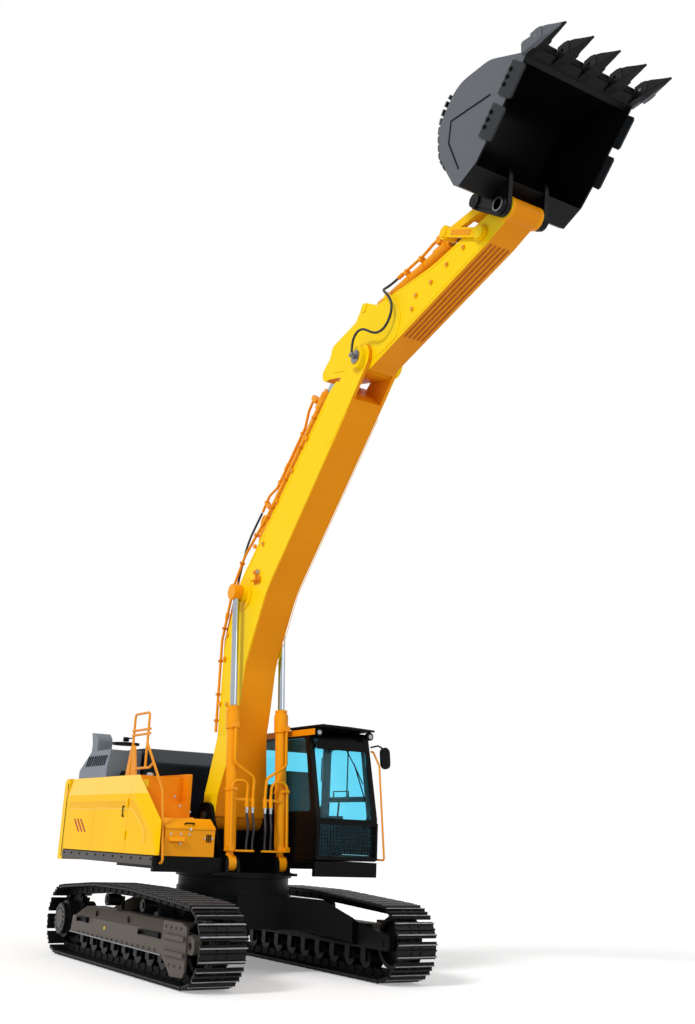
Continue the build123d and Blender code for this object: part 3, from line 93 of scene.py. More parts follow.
def aim(yaw, pitch, roll):
    """Rotation of a camera that looks along yaw and pitch, rolled about its own axis."""
    ahead = Vector((math.cos(pitch) * math.cos(yaw), math.cos(pitch) * math.sin(yaw), math.sin(pitch)))
    right = Vector((math.sin(yaw), -math.cos(yaw), 0))
    up = right.cross(ahead)
    across = math.cos(roll) * right + math.sin(roll) * up
    upward = -math.sin(roll) * right + math.cos(roll) * up
    return Matrix((across, upward, -ahead)).transposed()


lens = bpy.data.cameras.new("camera")
lens.lens = FOCAL / FRAME_SIZE[1] * lens.sensor_width
lens.shift_x = (FRAME_SIZE[0] / 2 - CENTRE[0]) / FRAME_SIZE[1]
lens.shift_y = (CENTRE[1] - FRAME_SIZE[1] / 2) / FRAME_SIZE[1]
lens.clip_end = 300
camera = bpy.data.objects.new("camera", lens)
bpy.context.scene.collection.objects.link(camera)
camera.matrix_world = Matrix.Translation(EYE) @ aim(YAW, PITCH, ROLL).to_4x4()
bpy.context.scene.camera = camera
print("camera", round(lens.lens, 2), "mm")

# %% [markdown]
# ## Materials
# Nearly everything here is steel under two-pack enamel, sprayed in a factory: smooth, glossy, a
# little orange-peel in the film. What is not painted is rubber, glass, chrome or bare wear steel.
# One builder makes them all, because they differ in numbers and not in kind: a colour that
# drifts slowly to a second one, a roughness and a grain whose size is given in millimetres.

# %% Colour and node helpers
def linear(code):
    """sRGB hex colour as linear values."""
    parts = [int(code[place:place + 2], 16) / 255 for place in (1, 3, 5)]
    return [part / 12.92 if part <= 0.04045 else ((part + 0.055) / 1.055) ** 2.4 for part in parts] + [1]


def add(tree, kind, values=(), links=(), **settings):
    """Node with its settings, its input values and the sockets that feed it."""
    node = tree.nodes.new(kind)
    for name, value in settings.items():
        setattr(node, name, value)
    for name, value in dict(values).items():
        node.inputs[name].default_value = value
    for name, socket in dict(links).items():
        tree.links.new(socket, node.inputs[name])
    return node


print("mid grey is", [round(value, 3) for value in linear("#808080")[:3]], "in linear values")

# %% [markdown]
# The builder reads Object coordinates, so a pattern stays on its piece when the body moves. A
# colour can change at a height or at a distance from the centre line; that is how painted light
# and painted shade are laid on whole faces here. The grain is only a bump: it breaks up the highlights.

# %% The material builder
GRAIN_DEPTH, COAT_ROUGHNESS = 0.002, 0.12
DRIFT_FROM, DRIFT_TO = 0.35, 0.68


def surface(name, colour, drift, roughness, metallic=0.0, patch_mm=700, grain_mm=4, relief=0.0, coat=0.0,
            shine=0.5, above=None, beyond=None, flare=None):
    """Material whose colour drifts slowly to a second one, with a grain sized in millimetres.

    above is (height in metres, colour over it).
    beyond is (metres from the centre line, colour outside that).
    flare is (height, lower height, extra distance there), for a box that widens downwards.
    """
    material = bpy.data.materials.new(name)
    material.use_nodes = True
    material.diffuse_color = linear(colour)
    tree = material.node_tree
    shader = tree.nodes["Principled BSDF"]
    place = add(tree, "ShaderNodeTexCoord").outputs["Object"]
    patches = add(tree, "ShaderNodeTexNoise", {"Scale": 1000 / patch_mm, "Detail": 5}, {"Vector": place})
    tones = add(tree, "ShaderNodeValToRGB", links={"Fac": patches.outputs["Fac"]})
    for stop, share, shade in zip(tones.color_ramp.elements, (DRIFT_FROM, DRIFT_TO), (colour, drift)):
        stop.position = share
        stop.color = linear(shade)
    base = tones.outputs["Color"]
    axes = add(tree, "ShaderNodeSeparateXYZ", links={"Vector": place}).outputs
    for limit, axis in ((above, "Z"), (beyond, "Y")):
        if limit:
            size = add(tree, "ShaderNodeMath", links={0: axes[axis]}, operation="ABSOLUTE").outputs[0]
            if flare:
                heights = {"From Min": flare[0], "From Max": flare[1], "To Min": 0, "To Max": flare[2]}
                wider = add(tree, "ShaderNodeMapRange", heights, {"Value": axes["Z"]}).outputs["Result"]
                size = add(tree, "ShaderNodeMath", links={0: size, 1: wider}, operation="SUBTRACT").outputs[0]
            past = add(tree, "ShaderNodeMath", {1: limit[0]}, {0: size}, operation="GREATER_THAN").outputs[0]
            mix = add(tree, "ShaderNodeMix", {7: linear(limit[1])}, {0: past, 6: base}, data_type="RGBA")
            base = mix.outputs[2]
    tree.links.new(base, shader.inputs["Base Color"])
    shader.inputs["Metallic"].default_value = metallic
    shader.inputs["Roughness"].default_value = roughness
    shader.inputs["Specular IOR Level"].default_value = shine
    shader.inputs["Coat Weight"].default_value = coat
    shader.inputs["Coat Roughness"].default_value = COAT_ROUGHNESS
    if relief:
        grain = add(tree, "ShaderNodeTexNoise", {"Scale": 1000 / grain_mm, "Detail": 2}, {"Vector": place})
        depth = {"Strength": relief, "Distance": GRAIN_DEPTH}
        bump = add(tree, "ShaderNodeBump", depth, {"Height": grain.outputs["Fac"]})
        tree.links.new(bump.outputs["Normal"], shader.inputs["Normal"])
    return material


print("grain", GRAIN_DEPTH * 1000, "mm deep")

# %% [markdown]
# The enamels come first. Machine yellow is chrome yellow enamel: warm, opaque and glossy. The box
# of the boom keeps the lit yellow on its side plates, and its flange plates are painted a redder
# yellow as shade, so the colour changes at a distance from the centre line; the arm is painted the
# same way. Cylinders, tank and rails are redder still. The blacks are deep, so the light that they
# show is only their gloss.

# %% Yellow and orange enamels
LIT_SIDE_YELLOW, SHADED_FLANGE_YELLOW, SHADE_ORANGE = "#FFD60A", "#F59A0C", "#EE9208"
# Sprayed plate: opaque, with a faint orange-peel grain. The side plates of the boom stand 248.5 mm
# from the centre line and flare by 140 mm towards its foot; those of the arm stand 188.5 mm out.
# Real orange peel is finer than the 9 mm used here, which is what shows at this distance.
# Past those distances the side plates keep the lit yellow; the flange plates between them are painted a
# redder yellow and orange, as shade.
boom_enamel = surface("boom_enamel", SHADED_FLANGE_YELLOW, SHADE_ORANGE, 0.4, coat=0.03, shine=0.08, grain_mm=9,
                      relief=0.05, beyond=(0.2485, LIT_SIDE_YELLOW), flare=(3.05, 2.25, 0.14))
# The arm's flange plates are painted a redder yellow as shade in the same way.
arm_enamel = surface("arm_enamel", "#F0960F", "#E88C0C", 0.4, coat=0.03, shine=0.08, grain_mm=9,
                     relief=0.05, beyond=(0.1885, LIT_SIDE_YELLOW))
yellow_enamel = surface("yellow_enamel", "#FFCE08", "#FFC800", 0.38, coat=0.03, shine=0.08, grain_mm=9,
                        relief=0.05)
# Pressed sheet is smoother than plate, so it has no grain. Over 2.2 m it is painted paler: a painted
# highlight on the top of the panel, which tilts up to the light.
panel_enamel = surface("panel_enamel", "#FFC300", "#FFCA00", 0.34, coat=0.03, shine=0.05,
                       above=(2.2, "#FFD45C"))
# The pressed groove is a little duller and painted darker as shade; its lip is painted paler as a
# painted highlight.
groove_painted_shade = surface("groove_painted_shade", "#F7B800", "#F2B200", 0.4, shine=0.1)
lip_painted_highlight = surface("lip_painted_highlight", "#FFE07A", "#FFDC70", 0.4, shine=0.1)
# Cylinders, toolbox and rails: a redder yellow, a little glossier on tube. The tank's orange is
# painted shade, for its front face in shadow.
amber_enamel = surface("amber_enamel", "#F9A20A", "#F29A06", 0.38, coat=0.05, shine=0.12)
tank_enamel = surface("tank_enamel", "#F2930A", "#EB8B08", 0.4, coat=0.03, shine=0.08)
rail_enamel = surface("rail_enamel", "#EE9A1C", "#E58F12", 0.4, coat=0.05, shine=0.18)
# Paint that rubs against soil: rusty, matt and patchy, with patches of 60 mm.
worn_enamel = surface("worn_enamel", "#B9640F", "#A85508", 0.6, patch_mm=60, shine=0.25)
print(len(bpy.data.materials), "yellow and orange finishes")

# %% [markdown]
# The blacks and greys of the base machine: deep gloss black on the cab and the frame, satin on
# guards and steps, a bonnet painted lighter and bluer as a painted sky reflection, and grey where
# paint has lost its gloss on the skirts. The track frames are grey with dust, partly painted
# sunlight, on their outer faces, and black as painted shade on their inner faces. The bucket is
# black, and its side faces are painted grey as a painted sheen from the key.

# %% Black and grey enamels
# Deep gloss black: nothing shows but the highlights.
black_enamel = surface("black_enamel", "#050506", "#090A0B", 0.36, coat=0.0, shine=0.08)
satin_black = surface("satin_black", "#070708", "#0C0C0E", 0.5, shine=0.08)
# The bonnet looks up at the sky, so its black is painted lighter and bluer than the cab's: a
# painted sky reflection.
hood_painted_sky_black = surface("bonnet_painted_sky_reflection", "#1B232C", "#161D25", 0.45, shine=0.12)
# The bucket's outer side faces, over 809.5 mm from the centre line, are painted grey as a sheen
# from the key: a painted highlight.
bucket_black = surface("bucket_enamel", "#060607", "#0B0B0D", 0.42, patch_mm=900, grain_mm=14, relief=0.1,
                       coat=0.0, shine=0.15, beyond=(0.8095, "#5E6268"))
cutter_steel = surface("cutter_enamel", "#25272A", "#2E3034", 0.45, shine=0.12)
# Warm greys under the house: skirts, covers, and the track frames' outer faces past 1245 mm, grey
# with dust and partly painted sunlight. Inside that the frames are painted black as shade.
skirt_grey = surface("skirt_grey_enamel", "#4A4643", "#423E3C", 0.42, shine=0.2)
frame_dust_grey_and_inner_shade = surface("track_frame_enamel", "#0C0B0B", "#141312", 0.5, patch_mm=500, grain_mm=14, relief=0.12,
                     shine=0.15, beyond=(1.245, "#57504A"))
# Heat-proof grey on the exhaust box: matt and a little blue.
box_grey = surface("exhaust_box_enamel", "#79828B", "#6C757F", 0.42, shine=0.2)
# Printed film and stripes.
label_yellow = surface("label_film", "#F6D21E", "#F0CC18", 0.5, shine=0.15)
stripe_red = surface("red_enamel", "#B8301A", "#AE2A14", 0.4, shine=0.15)
print(len(bpy.data.materials), "finishes so far")

# %% [markdown]
# Bare metal, rubber, plastic and glass. Rolled track steel is nearly black with mill scale and
# rubs bright on its ribs; cylinder rods are ground and hard-chromed; hoses are ribbed rubber.
# Cab glass is a pane of tinted laminate, so light passes and turns blue-green on the way.

# %% Bare metal, rubber and glass
# Mill scale takes the shine off rolled steel, so it is nearly a black paint; rubbed ribs are bright.
track_steel = surface("rolled_track_steel", "#0B0B0C", "#121315", 0.42, metallic=0.1, shine=0.2,
                      patch_mm=120, grain_mm=12, relief=0.25)
worn_steel = surface("worn_steel", "#8F9296", "#74777B", 0.38, metallic=0.85, patch_mm=60, grain_mm=6,
                     relief=0.2)
# Ground and chromed: a mirror with a thin, sharp highlight.
chrome = surface("hard_chrome", "#AEB4BB", "#9CA3AB", 0.12, metallic=1.0)
pin_steel = surface("machined_pin_steel", "#8E9194", "#7D8084", 0.32, metallic=0.9)
silver = surface("zinc_plating", "#B9BCC0", "#A6A9AE", 0.35, metallic=0.8)
# Sand-cast: dark and matt, with a pebbled skin.
cast_iron = surface("cast_iron", "#141516", "#1E1F21", 0.6, metallic=0.3, grain_mm=8, relief=0.2)
hose_rubber = surface("hose_rubber", "#0E0E10", "#16161A", 0.5, patch_mm=150)
cab_plastic = surface("moulded_plastic", "#101113", "#17181A", 0.6, shine=0.3)
seat_cloth = surface("woven_seat_cloth", "#2A2B2F", "#35363B", 0.9, patch_mm=60, grain_mm=5, relief=0.5)
lamp_glass = surface("lamp_lens", "#B4BCC2", "#A2ABB2", 0.15, coat=0.6)
reflector = surface("orange_reflector", "#F06A10", "#E05E08", 0.25, coat=0.6)

# Laminated glass has an IOR of about 1.5. It is matched lower here, because the white studio all
# round would mirror in the pane as a haze and hide the tint.
GLASS_CLEARNESS, GLASS_IOR = 0.97, 1.15
glass = surface("tinted_laminated_glass", "#A4EEFF", "#A9F0FF", 0.03)
glass_inputs = glass.node_tree.nodes["Principled BSDF"].inputs
glass_inputs["Transmission Weight"].default_value = GLASS_CLEARNESS
glass_inputs["IOR"].default_value = GLASS_IOR
print(len(bpy.data.materials), "materials")

# %% [markdown]
# ## Dressing the CAD parts
# Every CAD node gets its finish here. The table reads like a paint plan, one finish per line.

# %% Paint plan
BOTH = ("left", "right")
PAINT_PLAN = [
    (boom_enamel, ["boom"]),
    (arm_enamel, ["arm"]),
    (yellow_enamel, ["rocker_links", "bucket_link", "counterweight"]),
    (panel_enamel, ["right_engine_panel", "right_service_door", "right_front_cover", "left_engine_door",
                    "left_service_panel"]),
    (amber_enamel, ["toolbox", "toolbox_lid", "boom_pipes", "arm_cylinder", "bucket_cylinder",
                    "left_boom_cylinder", "right_boom_cylinder"]),
    (tank_enamel, ["fuel_tank", "boom_lamp"]),
    (rail_enamel, ["handrails"]),
    (black_enamel, ["car_body", "slewing_ring", "cab_shell", "cab_door", "upper_frame"]),
    (hood_painted_sky_black, ["engine_hood", "engine_deck"]),
    (satin_black, ["track_steps", "front_guard", "roof_visor", "mirrors"]),
    (bucket_black, ["bucket"]),
    (frame_dust_grey_and_inner_shade, ["left_track_frame", "right_track_frame"]),
    (box_grey, ["exhaust"]),
    (track_steel, ["left_track", "right_track", "idlers", "rollers", "sprockets"]),
    (chrome, ["left_boom_rod", "right_boom_rod", "arm_rod", "bucket_rod"]),
    (pin_steel, ["boom_foot_pin", "arm_pivot_pin", "bucket_pin", "arm_fittings"]),
    (cast_iron, ["engine"]),
    (glass, ["cab_glass", "door_glass"]),
    (seat_cloth, ["operator_seat"]),
    (cab_plastic, ["control_consoles"]),
    (hose_rubber, ["arm_hose", "boom_hose"] + [f"{side}_{end}_hose" for side in BOTH
                                               for end in ("rod", "base")]),
]
for finish, names in PAINT_PLAN:
    for name in names:
        mesh = frame["nodes"][name].data
        mesh.materials.clear()
        mesh.materials.append(finish)
plain = set(frame["nodes"]) - {name for _, names in PAINT_PLAN for name in names}
print("painted", len(frame["nodes"]) - len(plain), "nodes; left plain:", sorted(plain))

# %% [markdown]
# ## Hoses
# A hydraulic hose is braided rubber: it leaves its fitting straight, then takes one smooth curve.
# A NURBS spline does the same, so the route's points are its control points. Order 3 and the
# end flag are set after the points, or the spline would fall back to straight runs.

# %% Hose routes
HOSE_DIAMETER = 0.034
ARM_HOSE = [
    (3215, -400, 7840), (3215, -400, 7960), (3252, -394, 8070), (3335, -380, 8135), (3440, -358, 8120),
    (3545, -332, 8045), (3660, -305, 7990), (3790, -285, 8005), (3900, -275, 8100), (3955, -272, 8235),
    (3920, -270, 8385), (3830, -272, 8500), (3723, -269, 8606), (3675, -173.5, 8688),
    (3692.6, -124.8, 8736.3), (3746.8, -95, 8772.9), (3841.3, -95, 8787.8),
]
BOOM_HOSE = [
    (345, -86, 6315), (215, -100, 6160), (105, -130, 5985), (50, -165, 5790), (30, -190, 5600),
    (-27, -200, 5428), (-67, -200, 5309),
]
# The drop hoses hang in one plane each, so their points are (x, z); the middle one bows inwards.
DROP_HOSE = [
    (615.93, 2071.73), (625.289, 1967.148), (683.271, 1801.658), (655.595, 1628.502), (664.954, 1523.92),
]
DROP_REACH = (("rod", 96), ("base", 186))
DROP_BOW = (0, 0, 10, 0, 0)
print(len(ARM_HOSE), "points on the arm's hose,", len(BOOM_HOSE), "on the boom's")

# %% [markdown]
# The curve is evaluated once before it gets its thickness. Then the bevel makes the rubber, in the
# same route as the CAD tube that it takes the place of.

# %% Rubber hoses


def hose(name, points, body):
    """Smooth rubber hose over its CAD tube."""
    data = bpy.data.curves.new(name, "CURVE")
    data.dimensions = "3D"
    spline = data.splines.new("NURBS")
    spline.points.add(len(points) - 1)
    for point, place in zip(spline.points, points):
        point.co = (*at(*place), 1)
    spline.order_u = 3
    spline.use_endpoint_u = True
    spline.resolution_u = 8
    line = bpy.data.objects.new(name + "_line", data)
    bpy.context.scene.collection.objects.link(line)
    bpy.context.view_layer.update()
    mesh = bpy.data.meshes.new_from_object(line.evaluated_get(bpy.context.evaluated_depsgraph_get()))
    bpy.data.meshes.remove(mesh)
    line.name = name + "_rubber"
    data.bevel_depth = HOSE_DIAMETER / 2
    data.bevel_resolution = 4
    data.use_fill_caps = True
    data.materials.append(hose_rubber)
    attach(line, body)
    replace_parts(line, name)


hose("arm_hose", ARM_HOSE, "arm")
hose("boom_hose", BOOM_HOSE, "boom")
for side, sign in (("left", 1), ("right", -1)):
    for end, reach in DROP_REACH:
        route = [(x, sign * (reach - bow), z) for (x, z), bow in zip(DROP_HOSE, DROP_BOW)]
        hose(f"{side}_{end}_hose", route, f"{side}_boom_barrel")

# %% [markdown]
# ## Small shapes, and a tree that repeats them
# A machine like this has thousands of fasteners, links and ribs, each made once and used many
# times. Each shape is a small mesh at the origin, its top along Z. A Geometry Nodes tree sets a
# copy on every point, turned as that point's attribute says, and realizes the copies, so that
# what leaves the tree is one plain mesh for one body. First come the solids: a ring of points
# stretched between two places is closed by itself, and only its normals are set outwards.

# %% Closed solids
def mesh_of(name, parts):
    """Mesh from closed parts, each (corners, faces), with its normals outward."""
    shape = bmesh.new()
    for corners, faces in parts:
        made = [shape.verts.new(corner) for corner in corners]
        for face in faces:
            shape.faces.new([made[index] for index in face])
    bmesh.ops.recalc_face_normals(shape, faces=shape.faces)
    mesh = bpy.data.meshes.new(name)
    shape.to_mesh(mesh)
    shape.free()
    return mesh


def prism(ring, start, end):
    """Closed solid between two copies of a ring of points, one moved by start and one by end."""
    count = len(ring)
    corners = [Vector(point) + Vector(move) for move in (start, end) for point in ring]
    faces = [tuple(range(count)), tuple(range(count, 2 * count))]
    for index in range(count):
        after = (index + 1) % count
        faces.append((index, after, after + count, index + count))
    return corners, faces


def circle(radius, sides):
    """Points evenly round a circle about the origin, as (across, up)."""
    angles = [2 * math.pi * index / sides for index in range(sides)]
    return [(radius * math.cos(angle), radius * math.sin(angle)) for angle in angles]


trial = prism([(x, y, 0) for x, y in circle(1, 12)], (0, 0, 0), (0, 0, 1))
print("a bar of 12 sides has", len(trial[1]), "faces")

# %% [markdown]
# Most pieces of such a machine are cut from plate or bar, so three shapes make nearly all of
# them: a slab with a side-view outline, a block, and a round bar. They differ only in the ring
# that is stretched into a solid. A piece's bevel eases its edges as a grinder would.

# %% Plates, blocks and bars
def slab(outline, near, far):
    """Plate with a side-view outline in (x, z) millimetres, between two distances from the centre line."""
    ring = [at(x, 0, z) for x, z in outline]
    return prism(ring, (0, near / 1000, 0), (0, far / 1000, 0))


def brick(x_range, y_range, z_range):
    """Block between ranges in millimetres from the swing axis."""
    (x_from, x_to), (z_from, z_to) = x_range, z_range
    return slab([(x_from, z_from), (x_to, z_from), (x_to, z_to), (x_from, z_to)], *y_range)


def rod(start, end, radius, sides=12):
    """Round bar between two points in metres."""
    start, end = Vector(start), Vector(end)
    turn = (end - start).to_track_quat("Z", "Y")
    return prism([turn @ Vector((x, y, 0)) for x, y in circle(radius, sides)], start, end)


def stub(x, z, near, far, radius, sides):
    """Round bar across the machine, from millimetres, with its radius in metres."""
    return rod(at(x, near, z), at(x, far, z), radius, sides)


def piece(name, parts, finish, body, bevel=0.0):
    """Finished piece that rides on a body, its edges eased where a bevel is given."""
    thing = bpy.data.objects.new(name, mesh_of(name, parts))
    bpy.context.scene.collection.objects.link(thing)
    thing.data.materials.append(finish)
    if bevel:
        ease = thing.modifiers.new("ease", "BEVEL")
        ease.width = bevel
        ease.segments = 2
        ease.limit_method = "ANGLE"
    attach(thing, body)
    return thing


print("block of 100 mm:", len(brick((0, 100), (0, 100), (0, 100))[1]), "faces")

# %% [markdown]
# The tree has four inputs: the spots, the shape, its size and its finish. Each spot carries a
# turn, so one tree serves bolts that face sideways and shoes that go round a wheel. Set Material
# comes last, because realized copies would otherwise have no finish of their own.

# %% The tree that repeats a shape
def repeat_tree():
    """Geometry Nodes tree with inputs Shape, Size and Finish; points carry a turn attribute."""
    tree = bpy.data.node_groups.new("repeat_a_shape", "GeometryNodeTree")
    tree.interface.new_socket("Spots", in_out="INPUT", socket_type="NodeSocketGeometry")
    for label, kind in (("Shape", "Object"), ("Size", "Float"), ("Finish", "Material")):
        tree.interface.new_socket(label, in_out="INPUT", socket_type="NodeSocket" + kind)
    tree.interface.new_socket("Result", in_out="OUTPUT", socket_type="NodeSocketGeometry")
    given = add(tree, "NodeGroupInput").outputs
    shape = add(tree, "GeometryNodeObjectInfo", links={"Object": given["Shape"]})
    turn = add(tree, "GeometryNodeInputNamedAttribute", {"Name": "turn"}, data_type="FLOAT_VECTOR")
    copies = add(tree, "GeometryNodeInstanceOnPoints", links={
        "Points": given["Spots"], "Instance": shape.outputs["Geometry"],
        "Rotation": turn.outputs["Attribute"], "Scale": given["Size"]})
    real = add(tree, "GeometryNodeRealizeInstances", links={"Geometry": copies.outputs["Instances"]})
    coloured = add(tree, "GeometryNodeSetMaterial", links={
        "Geometry": real.outputs["Geometry"], "Material": given["Finish"]})
    result = add(tree, "NodeGroupOutput")
    tree.links.new(coloured.outputs["Geometry"], result.inputs["Result"])
    return tree


REPEAT = repeat_tree()
SOCKETS = {item.name: item.identifier for item in REPEAT.interface.items_tree}
print("inputs by identifier:", SOCKETS)

# %% [markdown]
# Using the tree takes three steps: make a mesh of bare points with their turns, give it the
# modifier, and turn the evaluated result into a plain mesh. The helper objects are then removed,
# so nothing but the finished piece is left.

# %% Repeating a shape
def facing(out, along=(1, 0, 0)):
    """Euler turn that brings Z to out and X as near as it can to along."""
    out = Vector(out).normalized()
    across = out.cross(Vector(along)).normalized()
    return Matrix((across.cross(out), across, out)).transposed().to_euler()


def repeat(name, shape, spots, finish, body, size=1.0):
    """One mesh with the shape at every spot; a spot is (point in metres, turn)."""
    mesh = bpy.data.meshes.new(name + "_spots")
    mesh.from_pydata([tuple(point) for point, _ in spots], [], [])
    turns = mesh.attributes.new("turn", "FLOAT_VECTOR", "POINT")
    turns.data.foreach_set("vector", [value for _, turn in spots for value in turn])
    source = bpy.data.objects.new(name + "_shape", shape)
    holder = bpy.data.objects.new(name + "_spots", mesh)
    for thing in (source, holder):
        bpy.context.scene.collection.objects.link(thing)
    modifier = holder.modifiers.new("repeat", "NODES")
    modifier.node_group = REPEAT
    modifier[SOCKETS["Shape"]] = source
    modifier[SOCKETS["Size"]] = size
    modifier[SOCKETS["Finish"]] = finish
    bpy.context.view_layer.update()
    result = bpy.data.meshes.new_from_object(holder.evaluated_get(bpy.context.evaluated_depsgraph_get()))
    for thing in (holder, source):
        bpy.data.objects.remove(thing)
    made = bpy.data.objects.new(name, result)
    bpy.context.scene.collection.objects.link(made)
    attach(made, body)
    print(name, len(spots), "copies,", len(result.polygons), "faces")
    return made


print("a turn that faces left:", [round(math.degrees(angle)) for angle in facing((0, 1, 0))])

# %% [markdown]
# A hexagon bolt head on a washer does for every bolted plate; only its size changes.
# The washer goes a little into the plate, so no gap shows under it on a curved or sloping face.

# %% Bolt head
def disc(radius, low, high, sides):
    """Upright disc or hexagon between two heights."""
    return prism([(x, y, 0) for x, y in circle(radius, sides)], (0, 0, low), (0, 0, high))


# One unit is the head's radius; the shape is scaled in metres when it is repeated.
BOLT = mesh_of("bolt_head", [disc(1.35, -0.2, 0.18, 12), disc(1.0, 0.18, 0.9, 6)])


def bolts(name, places, out, radius, finish, body):
    """Bolt heads at places in millimetres, all facing one way."""
    turn = facing(out, (0, 0, 1) if abs(out[2]) < 0.5 else (1, 0, 0))
    return repeat(name, BOLT, [(at(*place), turn) for place in places], finish, body, radius / 1000)


print("bolt head:", len(BOLT.polygons), "faces")


# %% [markdown]
# ## Tracks
# A track is a loop of forged links with a steel shoe bolted to each pair. The CAD keeps the loop
# as one solid; here each shoe, with its three ribs, and each link pair is a shape of its own, set
# round the same loop: two wheels, with the top run carried over two rollers.

# %% The path of the chain
SHOES = 51
AXLE_Z, PITCH_RADIUS, SHOE_OUT = 470, 375, 65
WHEELS = [(2050, AXLE_Z, PITCH_RADIUS), (-2290, AXLE_Z, PITCH_RADIUS)]
CARRIERS = [(300, 805, 130), (-950, 805, 130)]


def tangent_between(first, second):
    """Outer tangent for a loop that runs counter-clockwise, the wheels on its left."""
    start, end = Vector(first[:2]), Vector(second[:2])
    line = end - start
    heading = math.atan2(line.y, line.x)
    lean = math.acos((first[2] - second[2]) / line.length)
    out = Vector((math.cos(heading - lean), math.sin(heading - lean)))
    return start + out * first[2], end + out * second[2]


def chain_loop():
    """Closed polyline of the pin line, in (x, z) millimetres."""
    ring = [WHEELS[0], *CARRIERS, WHEELS[1]]
    loop = []
    for index, wheel in enumerate(ring):
        before = tangent_between(ring[index - 1], wheel)[1]
        after = tangent_between(wheel, ring[(index + 1) % len(ring)])[0]
        centre = Vector(wheel[:2])
        start = math.atan2(*(before - centre).yx)
        sweep = (math.atan2(*(after - centre).yx) - start) % (2 * math.pi)
        steps = max(1, round(sweep / 0.05))
        for step in range(steps + 1):
            angle = start + sweep * step / steps
            loop.append(centre + wheel[2] * Vector((math.cos(angle), math.sin(angle))))
    return loop


loop = chain_loop()
print("loop of", len(loop), "points")

# %% [markdown]
# The pins are spaced evenly along that loop. Real pins stand one pitch apart in a straight line,
# which differs from the path by a fraction of a millimetre on wheels as large as these.

# %% The pins
def pins_of(loop, count):
    """Points spaced evenly round a closed polyline."""
    spans = [(b - a).length for a, b in zip(loop, loop[1:] + loop[:1])]
    pitch, places, travelled, index = sum(spans) / count, [], 0.0, 0
    for number in range(count):
        wanted = number * pitch
        while travelled + spans[index] < wanted:
            travelled += spans[index]
            index += 1
        share = (wanted - travelled) / max(spans[index], 1e-9)
        places.append(loop[index].lerp(loop[(index + 1) % len(loop)], share))
    return places


pins = pins_of(loop, SHOES)
PITCH_MM = (pins[1] - pins[0]).length
print("pitch", round(PITCH_MM), "mm, lowest pin", round(min(pin.y for pin in pins)))

# %% [markdown]
# A shoe is rolled as one long section with three ribs and sawn to length, so it is a prism of its
# end view. Under it lie two forged links with a boss at each pin. The ribs' edges are a piece of
# their own, because only they are rubbed bright.

# %% Shoes and links
SHOE_HALF, RIB_HIGH, RIB_SHARE = 299, 29, 0.34


def shoe_section():
    """Triple-rib shoe seen along its length: (along, out) from the middle of the link, in millimetres."""
    half = PITCH_MM / 2
    section = [(-half + 4, SHOE_OUT - 16), (-half + 4, SHOE_OUT + 2)]
    for rib, tall in ((-RIB_SHARE, 1.0), (0.0, 0.93), (RIB_SHARE, 1.0)):
        middle, top = rib * PITCH_MM, SHOE_OUT + RIB_HIGH * tall
        section += [(middle - 15, SHOE_OUT + 2), (middle - 7, top), (middle + 7, top)]
        section += [(middle + 15, SHOE_OUT + 2)]
    return section + [(half - 6, SHOE_OUT + 2), (half - 2, SHOE_OUT - 8), (half - 12, SHOE_OUT - 16)]


def metres(points):
    """Side-view points as metres about the origin."""
    return [(x / 1000, 0, z / 1000) for x, z in points]


def link_plate(offset):
    """Side plate of one link, with a boss at each pin, on its rail's line."""
    half = PITCH_MM / 2
    ring = [(-half - 34, -12), (-half - 20, -40), (-half + 30, -43), (half - 30, -43), (half + 20, -40),
            (half + 34, -12), (half + 20, 28), (half - 40, 49), (-half + 40, 49), (-half - 20, 28)]
    return prism(metres(ring), (0, (offset - 22) / 1000, 0), (0, (offset + 22) / 1000, 0))


def rib_edge(rib):
    """Bright strip that just covers the top of one rib."""
    middle = rib * PITCH_MM
    low, high = SHOE_OUT + 23, SHOE_OUT + RIB_HIGH + 0.4
    ring = [(middle - 7.5, low), (middle - 7.5, high), (middle + 7.5, high), (middle + 7.5, low)]
    return prism(metres(ring), (0, -0.3, 0), (0, 0.3, 0))


width = SHOE_HALF / 1000
SHOE = mesh_of("track_shoe", [prism(metres(shoe_section()), (0, -width, 0), (0, width, 0))])
RIB_EDGES = mesh_of("worn_rib_edges", [rib_edge(rib) for rib in (-RIB_SHARE, RIB_SHARE)])
half_pitch = PITCH_MM / 2000
LINKS = mesh_of("link_pair", [link_plate(-67), link_plate(67),
                              rod((-half_pitch, -0.1, 0), (-half_pitch, 0.1, 0), 0.03, 10)])
print("shoe", len(SHOE.polygons), "faces, link pair", len(LINKS.polygons))

# %% [markdown]
# Each copy stands on the middle of its link, with Z outwards and X along the chain. The shoes
# take the place of the CAD's plain loop; the links and the bright edges are added to them.

# %% Setting the shoes round the loop
def shoe_spots(centre):
    """Middle of each link, with Z outwards and X along the chain."""
    spots = []
    for here, after in zip(pins, pins[1:] + pins[:1]):
        along = (after - here).normalized()
        middle = (here + after) / 2
        spots.append((at(middle.x, centre, middle.y), facing((along.y, 0, -along.x), (along.x, 0, along.y))))
    return spots


for side in BOTH:
    low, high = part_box(f"{side}_track")
    spots = shoe_spots((low.y + high.y) * 500)
    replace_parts(repeat(f"{side}_track_shoes", SHOE, spots, track_steel, "undercarriage"), f"{side}_track")
    repeat(f"{side}_rib_edges", RIB_EDGES, spots, worn_steel, "undercarriage")
    repeat(f"{side}_chain_links", LINKS, spots, satin_black, "undercarriage")

# %% [markdown]
# Each shoe is held by four bolts whose nuts show between the ribs. The track frames carry rows of
# cap screws, a worn flange, a grease plate, and a round cover over the travel motor's gearbox.

# %% Bolts of the undercarriage
FRAME_OUT, FLANGE_OUT = 243, 262


